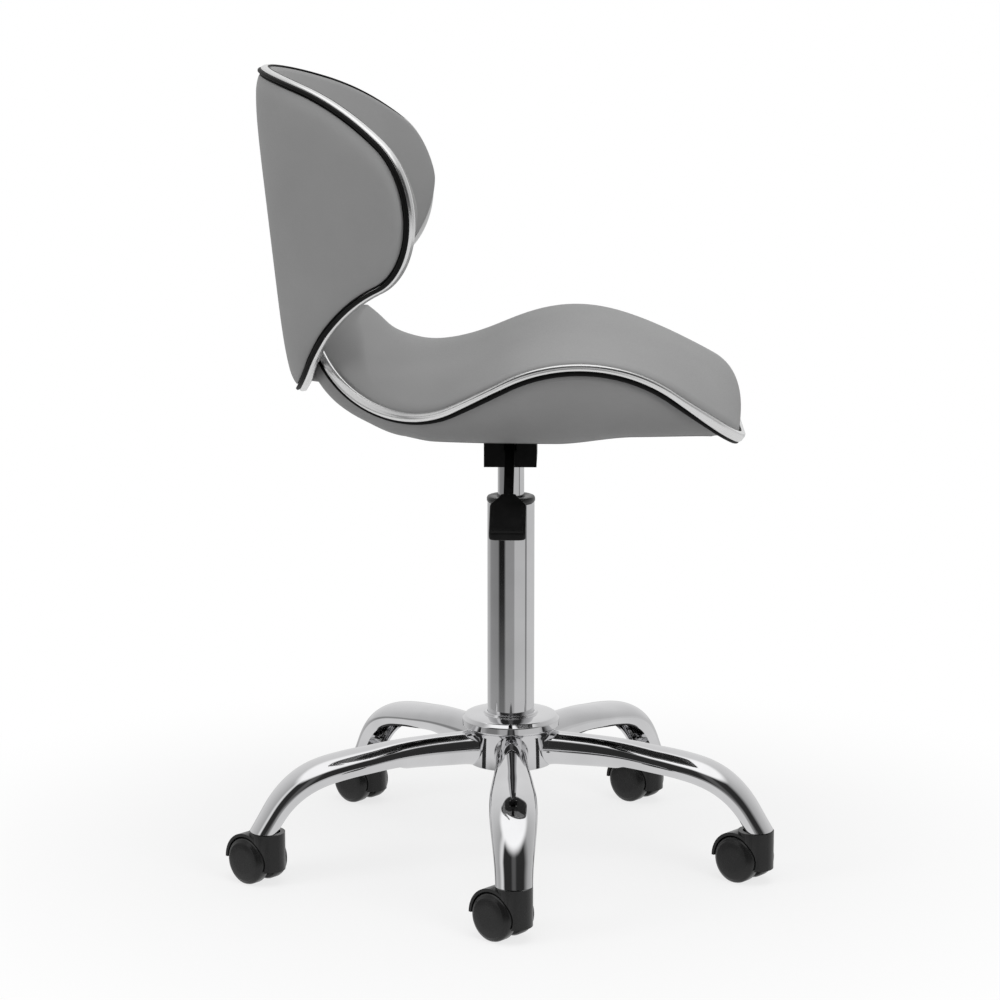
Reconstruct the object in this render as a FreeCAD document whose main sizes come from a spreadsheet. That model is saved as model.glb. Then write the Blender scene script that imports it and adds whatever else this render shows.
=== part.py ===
import FreeCAD, Part
import math
import os
import re

import Sketcher
from FreeCAD import Placement, Rotation, Vector

# Driving dimensions in millimetres and degrees. The origin lies on the floor under the column's axis,
# +X points to the front of the seat and +Z points up.
SIZES = {
    # clearances
    "slide_fit": 0.05,
    "run_gap": 0.3,
    "cover_gap": 0.5,
    # hub of the base
    "hub_diameter": 83.0,
    "hub_bottom": 109.5,
    "hub_height": 54.0,
    "hub_wall": 3.0,
    "hub_sleeve_wall": 3.5,
    "hub_roof": 12.0,
    "hub_collar": 2.5,
    "flange_diameter": 104.0,
    "flange_top_diameter": 88.0,
    "flange_depth": 9.0,
    "flange_bevel": 5.5,
    "flange_flare": 3.0,
    # five arms
    "base_turn": 1.8,
    "arm_reach": 270.7,
    "arm_height": 128.5,
    "arm_bend_radius": 95.0,
    "arm_bend_angle": 58.0,
    "arm_end_height": 57.5,
    "arm_end_lead": 3.0,
    "arm_root_diameter": 37.0,
    "arm_middle_width": 48.0,
    "arm_middle_depth": 28.0,
    "arm_end_width": 41.0,
    "arm_end_depth": 24.0,
    "arm_wall": 2.0,
    "arm_side": 1.5,
    "arm_opening": 118.0,
    "arm_plate": 4.0,
    # casters
    "caster_turn": 139.3,
    "caster_trail": 14.5,
    "wheel_diameter": 50.0,
    "wheel_inner_face": 6.5,
    "wheel_outer_face": 22.5,
    "wheel_disc": 8.2,
    "wheel_rim": 5.0,
    "wheel_bevel": 2.5,
    "wheel_gap": 1.2,
    "web_half": 6.0,
    "boss_half": 13.5,
    "boss_diameter": 38.0,
    "hood_wall": 3.3,
    "hood_half": 19.0,
    "cup_diameter": 38.0,
    "cup_top": 56.5,
    "cup_bottom": 16.0,
    "cup_bore": 28.0,
    "cup_depth": 4.0,
    "axle_diameter": 6.0,
    "axle_seat": 4.2,
    "stem_diameter": 10.0,
    "stem_foot": 24.0,
    "stem_collar_diameter": 18.0,
    "thread_diameter": 8.0,
    "nut_width": 13.0,
    "nut_height": 5.0,
    "thread_end": 2.0,
    # column
    "tube_diameter": 50.0,
    "tube_wall": 1.75,
    "tube_bottom": 104.0,
    "tube_top": 394.0,
    "tube_floor": 3.0,
    "bush_length": 64.0,
    "bush_collar": 6.0,
    "bush_lip": 0.6,
    "race_thickness": 2.0,
    "race_diameter": 26.0,
    "ball_diameter": 5.0,
    "ball_circle": 17.0,
    "ball_count": 8,
    "rod_diameter": 10.0,
    "rod_neck_diameter": 8.0,
    "rod_top": 300.0,
    "piston_length": 8.0,
    "clip_diameter": 14.0,
    "clip_thickness": 1.2,
    "clip_groove": 6.4,
    "rod_tail": 2.0,
    "buffer_diameter": 22.0,
    "buffer_height": 13.7,
    "cylinder_diameter": 28.0,
    "cylinder_wall": 2.0,
    "cylinder_guide": 14.0,
    "cylinder_head": 25.0,
    "cylinder_top": 455.0,
    "taper_length": 14.0,
    "taper_drop": 0.4,
    "valve_diameter": 6.0,
    "valve_length": 28.0,
    "valve_tip": 1.5,
    "valve_gap": 0.4,
    # seat mechanism
    "pan_bottom": 473.0,
    "plate_length": 110.0,
    "plate_width": 130.0,
    "plate_thickness": 3.0,
    "box_width": 55.0,
    "box_length": 90.0,
    "box_height": 31.4,
    "box_wall": 2.5,
    "socket_diameter": 38.0,
    "lever_drop": 7.0,
    "lever_width": 10.0,
    "lever_thickness": 5.0,
    "lever_pivot": 22.0,
    "lever_toe": 8.0,
    "lever_elbow": 50.0,
    "lever_slope": 24.3,
    "lever_length": 118.0,
    "lever_slot": 13.0,
    "pin_diameter": 6.0,
    "handle_start": 94.0,
    "handle_length": 70.0,
    "handle_width": 37.0,
    "handle_neck": 16.0,
    "handle_shoulder": 21.0,
    "handle_thickness": 11.0,
    "handle_corner": 4.0,
    "screw_diameter": 6.0,
    "screw_head": 10.0,
    "screw_head_height": 3.8,
    "screw_across": 84.0,
    "screw_along": 100.0,
    "tee_barrel": 9.0,
    "tee_flange": 18.0,
    "tee_flange_thickness": 1.5,
    # seat line, seen from the side
    "valley_x": -105.0,
    "valley_z": 508.5,
    "valley_radius": 100.0,
    "hump_x": 70.5,
    "hump_z": 567.7,
    "hump_radius": 160.0,
    "front_drop": 37.0,
    "front_x": 238.0,
    # seat outline, laid flat
    "tail_radius": 60.0,
    "hip_place": 327.0,
    "hip_half_width": 197.0,
    "hip_radius": 306.0,
    "front_corner": 75.0,
    # seat layers
    "seat_board": 10.0,
    "seat_crown_tail": 62.0,
    "seat_crown_hump": 33.0,
    "seat_crown_nose": 46.0,
    "seat_edge": 5.0,
    "pad_inset": 1.0,
    "seat_crown_least": 8.0,
    "seat_dome": 0.62,
    "nose_round": 55.0,
    "nose_fullness": 0.6,
    "tail_round": 24.0,
    "pan_wall": 4.0,
    "pan_edge": 2.5,
    "pan_rise": 7.0,
    "pan_rise_length": 80.0,
    "pan_tail_depth": 15.0,
    "pan_front_depth": 2.5,
    "pan_tail_angle": 60.0,
    "pan_flat_share": 0.62,
    "pan_bulge_share": 0.24,
    "panel_back": -75.0,
    "panel_front": 47.0,
    "panel_half_width": 92.0,
    "panel_thickness": 12.0,
    "former_place": 75.0,
    "former_thickness": 18.0,
    "rim_inset": 3.5,
    "rim_turn": 11.0,
    "rim_spacing": 26.0,
    "loft_spacing": 24.0,
    "trim_gap": 0.8,
    "trim_depth": 5.0,
    "trim_round": 1.6,
    "trim_rise": 1.5,
    "seat_trim_drop": 5.5,
    "back_trim_half": 3.3,
    "piping_diameter": 4.6,
    "piping_start": 52.0,
    # back
    "back_lean": 6.15,
    "bracket_thickness": 6.0,
    "bracket_width": 50.0,
    "bracket_foot": 14.0,
    "bracket_rise": 44.0,
    "bracket_screw_head": 12.0,
    "back_tip_drop": 80.0,
    "back_height": 334.0,
    "back_radius": 155.0,
    "back_wrap": 45.4,
    "wing_reach": 261.5,
    "wing_height": 190.0,
    "wing_upper_radius": 84.0,
    "wing_lower_radius": 82.0,
    "waist_radius": 262.0,
    "tip_flare": 41.5,
    "tip_radius": 112.0,
    "back_board": 9.0,
    "back_crown": 32.0,
    "back_crown_wing": 9.0,
    "back_edge": 4.0,
    "back_shell_crown": 9.5,
    "back_shell_edge": 3.0,
    "notch_height": 91.0,
    "notch_half_width": 105.0,
}
ARMS = 5

doc = FreeCAD.newDocument("work_stool")
sheet = doc.addObject("Spreadsheet::Sheet", "sizes")
for row, (alias, number) in enumerate(SIZES.items(), start=1):
    sheet.set(f"A{row}", alias.replace("_", " "))
    sheet.set(f"B{row}", str(number))
    sheet.setAlias(f"B{row}", alias)
doc.recompute()

nodes = []


# Small tools for making pieces

def linked(expression):
    """The expression with each size's name pointed at its cell."""
    return re.sub(r"[a-z]+(_[a-z]+)*", r"sizes.\g<0>", expression)


def value(expression):
    """The number that an expression of sizes gives."""
    return float(sheet.evalExpression(linked(expression)))


def node(item):
    """Keep a finished piece under its label as one node of the stool."""
    nodes.append(item)
    return item


def formed(label, shape, place=None):
    """A piece whose shape is worked out here from the sheet's sizes."""
    item = doc.addObject("Part::Feature", label)
    item.Shape = shape
    if place is not None:
        item.Placement = place
    return item


def outline_sketch(body, label, plane, outline):
    """A closed sketch of straight lines whose corners are bound to pairs of expressions."""
    sketch = body.newObject("Sketcher::SketchObject", label)
    support = [item for item in body.Origin.OriginFeatures if item.Role == plane][0]
    sketch.AttachmentSupport = (support, [""])
    sketch.MapMode = "FlatFace"
    corners = [Vector(value(across), value(up), 0) for across, up in outline]
    count = len(corners)
    for index, corner in enumerate(corners):
        sketch.addGeometry(Part.LineSegment(corner, corners[(index + 1) % count]), False)
    for index in range(count):
        sketch.addConstraint(Sketcher.Constraint("Coincident", index, 2, (index + 1) % count, 1))
    for index, pair in enumerate(outline):
        for kind, expression, number in zip(("DistanceX", "DistanceY"), pair, corners[index]):
            constraint = sketch.addConstraint(Sketcher.Constraint(kind, -1, 1, index, 1, number))
            sketch.setExpression(f"Constraints[{constraint}]", linked(expression))
    return sketch


def turned(label, outline):
    """A piece turned about Z from a closed outline of (radius, height) expressions."""
    body = doc.addObject("PartDesign::Body", label)
    sketch = outline_sketch(body, label + "_outline", "XZ_Plane", outline)
    turn = body.newObject("PartDesign::Revolution", label + "_turn")
    turn.Profile = sketch
    turn.ReferenceAxis = (sketch, ["V_Axis"])
    turn.Angle = 360
    body.Tip = turn
    return body


AXIS_TURN = {
    "x": Rotation(Vector(0, 1, 0), 90),
    "y": Rotation(Vector(1, 0, 0), -90),
    "z": Rotation(),
}


def placed(item, x, y, z):
    """Bind a primitive's place to expressions."""
    for axis, expression in zip("xyz", (x, y, z)):
        item.setExpression("Placement.Base." + axis, linked(expression))
    return item


def cylinder(label, radius, height, x="0", y="0", z="0", axis="z"):
    """A cylinder of bound sizes that grows from its place along an axis."""
    item = doc.addObject("Part::Cylinder", label)
    item.setExpression("Radius", linked(radius))
    item.setExpression("Height", linked(height))
    item.Placement = Placement(Vector(), AXIS_TURN[axis])
    return placed(item, x, y, z)


def block(label, length, width, height, x, y, z):
    """A box of bound sizes whose lowest corner is at its place."""
    item = doc.addObject("Part::Box", label)
    item.setExpression("Length", linked(length))
    item.setExpression("Width", linked(width))
    item.setExpression("Height", linked(height))
    return placed(item, x, y, z)


def joined(label, *pieces):
    """Several solids fused into one."""
    item = doc.addObject("Part::MultiFuse", label)
    item.Shapes = list(pieces)
    return item


def shared(label, *pieces):
    """What several solids have in common."""
    item = doc.addObject("Part::MultiCommon", label)
    item.Shapes = list(pieces)
    return item


def cut(label, base, *tools):
    """A solid with others cut away."""
    item = doc.addObject("Part::Cut", label)
    item.Base = base
    item.Tool = tools[0] if len(tools) == 1 else joined(label + "_tools", *tools)
    return item


def group(label, master, places):
    """Copies of one piece at several places, kept as separate solids of one node."""
    copies = []
    for place in places:
        copy = master.Shape.copy()
        copy.Placement = place.multiply(copy.Placement)
        copies.append(copy)
    return node(formed(label, Part.makeCompound(copies)))


def solid(shape):
    """The single solid inside a boolean's result."""
    return shape.Solids[0] if len(shape.Solids) == 1 else shape


def blend(low, high, share):
    """A smooth step from low to high as the share goes from 0 to 1."""
    share = min(max(share, 0.0), 1.0)
    return low + (high - low) * share * share * (3 - 2 * share)


# Base: the hub, a pressed collar that the arms are welded to

node(turned("base_hub", [
    ("tube_diameter / 2 + slide_fit", "hub_bottom"),
    ("tube_diameter / 2 + hub_sleeve_wall", "hub_bottom"),
    ("tube_diameter / 2 + hub_sleeve_wall", "hub_bottom + hub_height - hub_roof"),
    ("hub_diameter / 2 - hub_wall", "hub_bottom + hub_height - hub_roof"),
    ("hub_diameter / 2 - hub_wall", "hub_bottom"),
    ("hub_diameter / 2", "hub_bottom"),
    ("hub_diameter / 2", "hub_bottom + hub_height - flange_depth - flange_flare"),
    ("flange_diameter / 2", "hub_bottom + hub_height - flange_depth"),
    ("flange_diameter / 2", "hub_bottom + hub_height - flange_bevel"),
    ("flange_top_diameter / 2", "hub_bottom + hub_height"),
    ("tube_diameter / 2 + hub_sleeve_wall", "hub_bottom + hub_height"),
    ("tube_diameter / 2 + hub_sleeve_wall", "hub_bottom + hub_height + hub_collar"),
    ("tube_diameter / 2 + slide_fit", "hub_bottom + hub_height + hub_collar"),
]))


# Arms: round tube at the hub, pressed flatter and open underneath towards the caster

def arm_spine(travel):
    """Radius, height and downward slope of an arm's middle line: level, then a bend, then straight down."""
    angle = math.radians(value("arm_bend_angle"))
    radius = value("arm_bend_radius")
    fall = value("arm_height") - value("arm_end_height") - radius * (1 - math.cos(angle))
    bend_start = value("arm_reach + arm_end_lead") - radius * math.sin(angle) - fall / math.tan(angle)
    if travel <= bend_start:
        return travel, value("arm_height"), 0.0
    turn = min((travel - bend_start) / radius, angle)
    past = max(travel - bend_start - radius * angle, 0.0)
    reach = bend_start + radius * math.sin(turn) + past * math.cos(turn)
    height = value("arm_height") - radius * (1 - math.cos(turn)) - past * math.sin(turn)
    return reach, height, turn


def tube_section(reach, height, slope, half_width, top, bottom):
    """A flattened tube's section square to the arm: two short sides, an arc above and an arc below."""
    side = value("arm_side")

    def at(across, up):
        return Vector(reach + up * math.sin(slope), across, height + up * math.cos(slope))

    return Part.Wire([
        Part.LineSegment(at(half_width, -side), at(half_width, side)).toShape(),
        Part.Arc(at(half_width, side), at(0, top), at(-half_width, side)).toShape(),
        Part.LineSegment(at(-half_width, side), at(-half_width, -side)).toShape(),
        Part.Arc(at(-half_width, -side), at(0, -bottom), at(half_width, -side)).toShape(),
    ])


def arm_loft(inset, opened):
    """The arm's outer form, or with an inset its hollow, which drops out underneath where it is open."""
    angle = math.radians(value("arm_bend_angle"))
    radius = value("arm_bend_radius")
    fall = value("arm_height") - value("arm_end_height") - radius * (1 - math.cos(angle))
    bend_start = value("arm_reach + arm_end_lead") - radius * math.sin(angle) - fall / math.tan(angle)
    bend_end = bend_start + radius * angle
    end = bend_end + fall / math.sin(angle) + value("arm_end_depth")
    root = value("hub_diameter") / 2 - value("hub_wall") - value("arm_wall")
    travels = [root - inset, (root + value("arm_opening")) / 2, value("arm_opening"),
               (value("arm_opening") + bend_start) / 2, bend_start]
    travels += [bend_start + (bend_end - bend_start) * share / 3 for share in (1, 2, 3)]
    travels += [(bend_end + end) / 2, end + inset]
    sections = []
    for travel in travels:
        reach, height, slope = arm_spine(travel)
        near = (travel - root) / (bend_start - root)
        far = (travel - bend_start) / (end - bend_start)
        width = blend(value("arm_root_diameter"), value("arm_middle_width"), near)
        width = blend(width, value("arm_end_width"), far)
        depth = blend(value("arm_root_diameter"), value("arm_middle_depth"), near)
        depth = blend(depth, value("arm_end_depth"), far)
        bottom = depth / 2 - inset
        if opened:
            bottom = blend(bottom, depth / 2 + inset, (travel - value("arm_opening")) / (bend_start - root))
        sections.append(tube_section(reach, height, slope, width / 2 - inset, depth / 2 - inset, bottom))
    return Part.makeLoft(sections, True, False)


def arm_shape():
    """Outer form less the hollow, closed at the foot by a plate with the caster's hole, coped to the hub."""
    far = value("arm_reach * 2")
    outer = arm_loft(0.0, False)
    hollow = arm_loft(value("arm_wall"), True)
    foot = value("arm_end_height")
    slab = Part.makeBox(far, far, value("arm_plate"), Vector(value("arm_reach") / 2, -far / 2, foot))
    below = Part.makeBox(far, far, foot, Vector(0, -far / 2, 0))
    hub = Part.makeCylinder(value("hub_diameter / 2 + slide_fit"), far)
    hole = Part.makeCylinder(value("thread_diameter / 2 + slide_fit"), far, Vector(value("arm_reach"), 0, 0))
    hole = hole.common(Part.makeBox(far, far, foot + value("arm_plate"), Vector(0, -far / 2, 0)))
    walls = outer.cut(hollow)
    plate = outer.common(slab)
    return solid(walls.fuse(plate).cut(below).cut(hub).cut(hole).removeSplitter())


arm_angles = [value("base_turn") - 90 + index * 360 / ARMS for index in range(ARMS)]
arm = arm_shape()
for index, angle in enumerate(arm_angles, start=1):
    node(formed(f"base_arm_{index}", arm.copy(), Placement(Vector(), Rotation(Vector(0, 0, 1), angle))))


# Casters: a stem nutted through each arm's foot, and a hooded housing with two wheels that turns on it

foot_places = [
    Placement(Rotation(Vector(0, 0, 1), angle).multVec(Vector(value("arm_reach"), 0, 0)), Rotation())
    for angle in arm_angles
]
stem = turned("caster_stem", [
    ("0", "stem_foot"),
    ("stem_diameter / 2", "stem_foot"),
    ("stem_diameter / 2", "cup_top - cup_depth + run_gap"),
    ("stem_collar_diameter / 2", "cup_top - cup_depth + run_gap"),
    ("stem_collar_diameter / 2", "arm_end_height"),
    ("thread_diameter / 2", "arm_end_height"),
    ("thread_diameter / 2", "arm_end_height + arm_plate + nut_height + thread_end"),
    ("0", "arm_end_height + arm_plate + nut_height + thread_end"),
])
hexagon = doc.addObject("Part::Prism", "nut_hexagon")
hexagon.Polygon = 6
hexagon.setExpression("Circumradius", linked("nut_width / 2") + " / cos(30 deg)")
hexagon.setExpression("Height", linked("nut_height"))
placed(hexagon, "0", "0", "arm_end_height + arm_plate")
nut = cut("caster_nut", hexagon, cylinder(
    "nut_bore", "thread_diameter / 2 + slide_fit", "nut_height", z="arm_end_height + arm_plate"))

housing_body = joined(
    "housing_body",
    cylinder("housing_cup", "cup_diameter / 2", "cup_top - cup_bottom", z="cup_bottom"),
    shared(
        "housing_hood",
        cylinder("hood_round", "wheel_diameter / 2 + wheel_gap + hood_wall", "hood_half * 2",
                 x="caster_trail", y="-hood_half", z="wheel_diameter / 2", axis="y"),
        block("hood_half_space", "wheel_diameter * 2", "hood_half * 2", "wheel_diameter",
              "0", "-hood_half", "wheel_diameter / 2")),
    cylinder("housing_boss", "boss_diameter / 2", "boss_half * 2",
             x="caster_trail", y="-boss_half", z="wheel_diameter / 2", axis="y"))
wheel_pockets = []
for side, sign in (("near", 1), ("far", -1)):
    rim_span = "boss_half + run_gap * 2 - web_half"
    disc_span = "hood_half"
    rim_start = "web_half" if sign > 0 else "-web_half - (" + rim_span + ")"
    disc_start = "boss_half + run_gap" if sign > 0 else "-boss_half - run_gap - " + disc_span
    wheel_pockets.append(cut(
        f"{side}_rim_pocket",
        cylinder(f"{side}_rim_round", "wheel_diameter / 2 + wheel_gap", rim_span,
                 x="caster_trail", y=rim_start, z="wheel_diameter / 2", axis="y"),
        cylinder(f"{side}_rim_core", "boss_diameter / 2", rim_span,
                 x="caster_trail", y=rim_start, z="wheel_diameter / 2", axis="y")))
    wheel_pockets.append(cylinder(
        f"{side}_disc_pocket", "wheel_diameter / 2 + wheel_gap", disc_span,
        x="caster_trail", y=disc_start, z="wheel_diameter / 2", axis="y"))
housing = cut(
    "caster_housing", housing_body, *wheel_pockets,
    cylinder("cup_hollow", "cup_bore / 2", "cup_depth", z="cup_top - cup_depth"),
    cylinder("stem_hole", "stem_diameter / 2 + slide_fit", "cup_top - stem_foot + run_gap",
             z="stem_foot - run_gap"),
    cylinder("axle_hole", "axle_diameter / 2 + slide_fit", "(boss_half + axle_seat) * 2",
             x="caster_trail", y="-boss_half - axle_seat", z="wheel_diameter / 2", axis="y"))
axle = cylinder(
    "caster_axle", "axle_diameter / 2", "(boss_half + run_gap + axle_seat) * 2",
    x="caster_trail", y="-boss_half - run_gap - axle_seat", z="wheel_diameter / 2", axis="y")
wheel = turned("caster_wheel", [
    ("axle_diameter / 2 + slide_fit", "wheel_outer_face - wheel_disc"),
    ("wheel_diameter / 2 - wheel_rim", "wheel_outer_face - wheel_disc"),
    ("wheel_diameter / 2 - wheel_rim", "wheel_inner_face"),
    ("wheel_diameter / 2 - wheel_bevel / 2", "wheel_inner_face"),
    ("wheel_diameter / 2", "wheel_inner_face + wheel_bevel"),
    ("wheel_diameter / 2", "wheel_outer_face - wheel_bevel * 2"),
    ("wheel_diameter / 2 - wheel_bevel / 2", "wheel_outer_face - wheel_bevel"),
    ("wheel_diameter / 2 - wheel_bevel * 2", "wheel_outer_face"),
    ("0", "wheel_outer_face"),
    ("0", "wheel_outer_face - wheel_disc + axle_seat + run_gap"),
    ("axle_diameter / 2 + slide_fit", "wheel_outer_face - wheel_disc + axle_seat + run_gap"),
])
doc.recompute()

group("caster_stems", stem, foot_places)
group("caster_nuts", nut, foot_places)
axle_centre = Vector(value("caster_trail"), 0, value("wheel_diameter / 2"))
caster_turn = Rotation(Vector(0, 0, 1), value("caster_turn"))
for index, foot in enumerate(foot_places, start=1):
    caster = Placement(foot.Base, caster_turn)
    node(formed(f"caster_housing_{index}", solid(housing.Shape.copy()), caster))
    axle_shape = axle.Shape.copy()
    node(formed(f"caster_axle_{index}", axle_shape, caster.multiply(axle_shape.Placement)))
    for side, facing in (("near", AXIS_TURN["y"]), ("far", AXIS_TURN["y"].inverted())):
        node(formed(f"caster_wheel_{side}_{index}", wheel.Shape.copy(),
                    caster.multiply(Placement(axle_centre, facing))))


# Column: a chromed tube, a plastic bush, and a gas spring that stands on a thrust bearing in the tube's floor

FLOOR = "tube_bottom + tube_floor"
LOWER_RACE_TOP = FLOOR + " + race_thickness"
UPPER_RACE = LOWER_RACE_TOP + " + ball_diameter + run_gap"
UPPER_RACE_TOP = UPPER_RACE + " + race_thickness"
CYLINDER_BOTTOM = UPPER_RACE_TOP + " + buffer_height + run_gap"

node(turned("column_tube", [
    ("rod_neck_diameter / 2 + run_gap", "tube_bottom"),
    ("tube_diameter / 2", "tube_bottom"),
    ("tube_diameter / 2", "tube_top"),
    ("tube_diameter / 2 - tube_wall", "tube_top"),
    ("tube_diameter / 2 - tube_wall", FLOOR),
    ("rod_neck_diameter / 2 + run_gap", FLOOR),
]))
node(turned("guide_bush", [
    ("cylinder_diameter / 2 + slide_fit", "tube_top - bush_length"),
    ("tube_diameter / 2 - tube_wall - slide_fit", "tube_top - bush_length"),
    ("tube_diameter / 2 - tube_wall - slide_fit", "tube_top"),
    ("tube_diameter / 2 + bush_lip", "tube_top"),
    ("tube_diameter / 2 + bush_lip", "tube_top + bush_collar * 0.6"),
    ("tube_diameter / 2 - tube_wall", "tube_top + bush_collar"),
    ("tube_diameter / 2 - tube_wall * 2.5", "tube_top + bush_collar"),
    ("tube_diameter / 2 - tube_wall * 2.5", "tube_top + bush_collar * 0.5"),
    ("cylinder_diameter / 2 + slide_fit", "tube_top + bush_collar * 0.5"),
]))
node(turned("bearing_lower_race", [
    ("rod_neck_diameter / 2 + run_gap", FLOOR),
    ("race_diameter / 2", FLOOR),
    ("race_diameter / 2", LOWER_RACE_TOP),
    ("rod_neck_diameter / 2 + run_gap", LOWER_RACE_TOP),
]))
ball = doc.addObject("Part::Sphere", "bearing_ball")
ball.setExpression("Radius", linked("ball_diameter / 2"))
placed(ball, "ball_circle / 2", "0", LOWER_RACE_TOP + " + ball_diameter / 2 + slide_fit")
doc.recompute()
ball_count = int(value("ball_count"))
group("bearing_balls", ball, [
    Placement(Vector(), Rotation(Vector(0, 0, 1), index * 360 / ball_count)) for index in range(ball_count)])
node(turned("bearing_upper_race", [
    ("rod_neck_diameter / 2 + slide_fit", UPPER_RACE),
    ("race_diameter / 2", UPPER_RACE),
    ("race_diameter / 2", UPPER_RACE_TOP),
    ("rod_neck_diameter / 2 + slide_fit", UPPER_RACE_TOP),
]))
CLIP_TOP = "tube_bottom - run_gap"
node(turned("piston_rod", [
    ("0", CLIP_TOP + " - clip_thickness - rod_tail"),
    ("rod_neck_diameter / 2", CLIP_TOP + " - clip_thickness - rod_tail"),
    ("rod_neck_diameter / 2", CLIP_TOP + " - clip_thickness - slide_fit"),
    ("clip_groove / 2", CLIP_TOP + " - clip_thickness - slide_fit"),
    ("clip_groove / 2", CLIP_TOP + " + slide_fit"),
    ("rod_neck_diameter / 2", CLIP_TOP + " + slide_fit"),
    ("rod_neck_diameter / 2", UPPER_RACE_TOP),
    ("rod_diameter / 2", UPPER_RACE_TOP),
    ("rod_diameter / 2", "rod_top - piston_length"),
    ("cylinder_diameter / 2 - cylinder_wall - slide_fit", "rod_top - piston_length"),
    ("cylinder_diameter / 2 - cylinder_wall - slide_fit", "rod_top"),
    ("0", "rod_top"),
]))
node(turned("retaining_clip", [
    ("clip_groove / 2 + slide_fit", CLIP_TOP + " - clip_thickness"),
    ("clip_diameter / 2", CLIP_TOP + " - clip_thickness"),
    ("clip_diameter / 2", CLIP_TOP),
    ("clip_groove / 2 + slide_fit", CLIP_TOP),
]))
node(turned("rubber_buffer", [
    ("rod_diameter / 2 + slide_fit", UPPER_RACE_TOP),
    ("buffer_diameter / 2", UPPER_RACE_TOP),
    ("buffer_diameter / 2 - buffer_height / 6", UPPER_RACE_TOP + " + buffer_height / 2"),
    ("buffer_diameter / 2", UPPER_RACE_TOP + " + buffer_height"),
    ("rod_diameter / 2 + slide_fit", UPPER_RACE_TOP + " + buffer_height"),
]))
node(turned("gas_cylinder", [
    ("rod_diameter / 2 + slide_fit", CYLINDER_BOTTOM),
    ("cylinder_diameter / 2", CYLINDER_BOTTOM),
    ("cylinder_diameter / 2", "cylinder_top - taper_length"),
    ("cylinder_diameter / 2 - taper_drop", "cylinder_top"),
    ("valve_diameter / 2 + slide_fit", "cylinder_top"),
    ("valve_diameter / 2 + slide_fit", "cylinder_top - cylinder_head"),
    ("cylinder_diameter / 2 - cylinder_wall", "cylinder_top - cylinder_head"),
    ("cylinder_diameter / 2 - cylinder_wall", CYLINDER_BOTTOM + " + cylinder_guide"),
    ("rod_diameter / 2 + slide_fit", CYLINDER_BOTTOM + " + cylinder_guide"),
]))


# Seat mechanism: a plate under the seat, a folded box with a taper socket, and the lever that presses the valve

PLATE_BOTTOM = "pan_bottom - run_gap - plate_thickness"
BOX_BOTTOM = PLATE_BOTTOM + " - box_height"
LEVER_HEIGHT = PLATE_BOTTOM + " - lever_drop"
LEVER_UNDER = LEVER_HEIGHT + " - lever_thickness / 2"

node(turned("valve_pin", [
    ("0", LEVER_UNDER + " - valve_gap - valve_length"),
    ("valve_diameter / 2", LEVER_UNDER + " - valve_gap - valve_length"),
    ("valve_diameter / 2", LEVER_UNDER + " - valve_gap - valve_tip"),
    ("valve_diameter / 2 - valve_tip", LEVER_UNDER + " - valve_gap"),
    ("0", LEVER_UNDER + " - valve_gap"),
]))
screw_spots = [(across, along) for across in ("-screw_across / 2", "screw_across / 2")
               for along in ("-screw_along / 2", "screw_along / 2")]


def screw_holes(label, radius, height, z):
    """One bore at each of the plate's four screws."""
    return [cylinder(f"{label}_{index}", radius, height, x=across, y=along, z=z)
            for index, (across, along) in enumerate(screw_spots, start=1)]


node(cut(
    "seat_plate",
    block("plate_blank", "plate_length", "plate_width", "plate_thickness",
          "-plate_length / 2", "-plate_width / 2", PLATE_BOTTOM),
    *screw_holes("plate_hole", "screw_diameter / 2 + run_gap", "plate_thickness", PLATE_BOTTOM)))
node(cut(
    "mechanism_box",
    block("box_outside", "box_width", "box_length", "box_height",
          "-box_width / 2", "-box_length / 2", BOX_BOTTOM),
    block("box_inside", "box_width - box_wall * 2", "box_length - box_wall * 2", "box_height - box_wall",
          "-box_width / 2 + box_wall", "-box_length / 2 + box_wall", BOX_BOTTOM + " + box_wall"),
    cylinder("box_bore", "cylinder_diameter / 2 + run_gap", "box_wall", z=BOX_BOTTOM),
    cylinder("box_pin_holes", "pin_diameter / 2 + slide_fit", "box_width",
             x="-box_width / 2", y="-lever_pivot", z=LEVER_HEIGHT, axis="x"),
    block("lever_slot_cut", "lever_slot", "box_wall", "lever_drop * 2",
          "-lever_slot / 2", "-box_length / 2", LEVER_HEIGHT + " - lever_drop")))
node(turned("taper_socket", [
    ("cylinder_diameter / 2 + slide_fit", BOX_BOTTOM + " + box_wall"),
    ("socket_diameter / 2", BOX_BOTTOM + " + box_wall"),
    ("socket_diameter / 2", "cylinder_top"),
    ("cylinder_diameter / 2 - taper_drop + slide_fit", "cylinder_top"),
    ("cylinder_diameter / 2 + slide_fit", "cylinder_top - taper_length"),
]))
node(cylinder("lever_pin", "pin_diameter / 2", "box_width",
              x="-box_width / 2", y="-lever_pivot", z=LEVER_HEIGHT, axis="x"))

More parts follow.
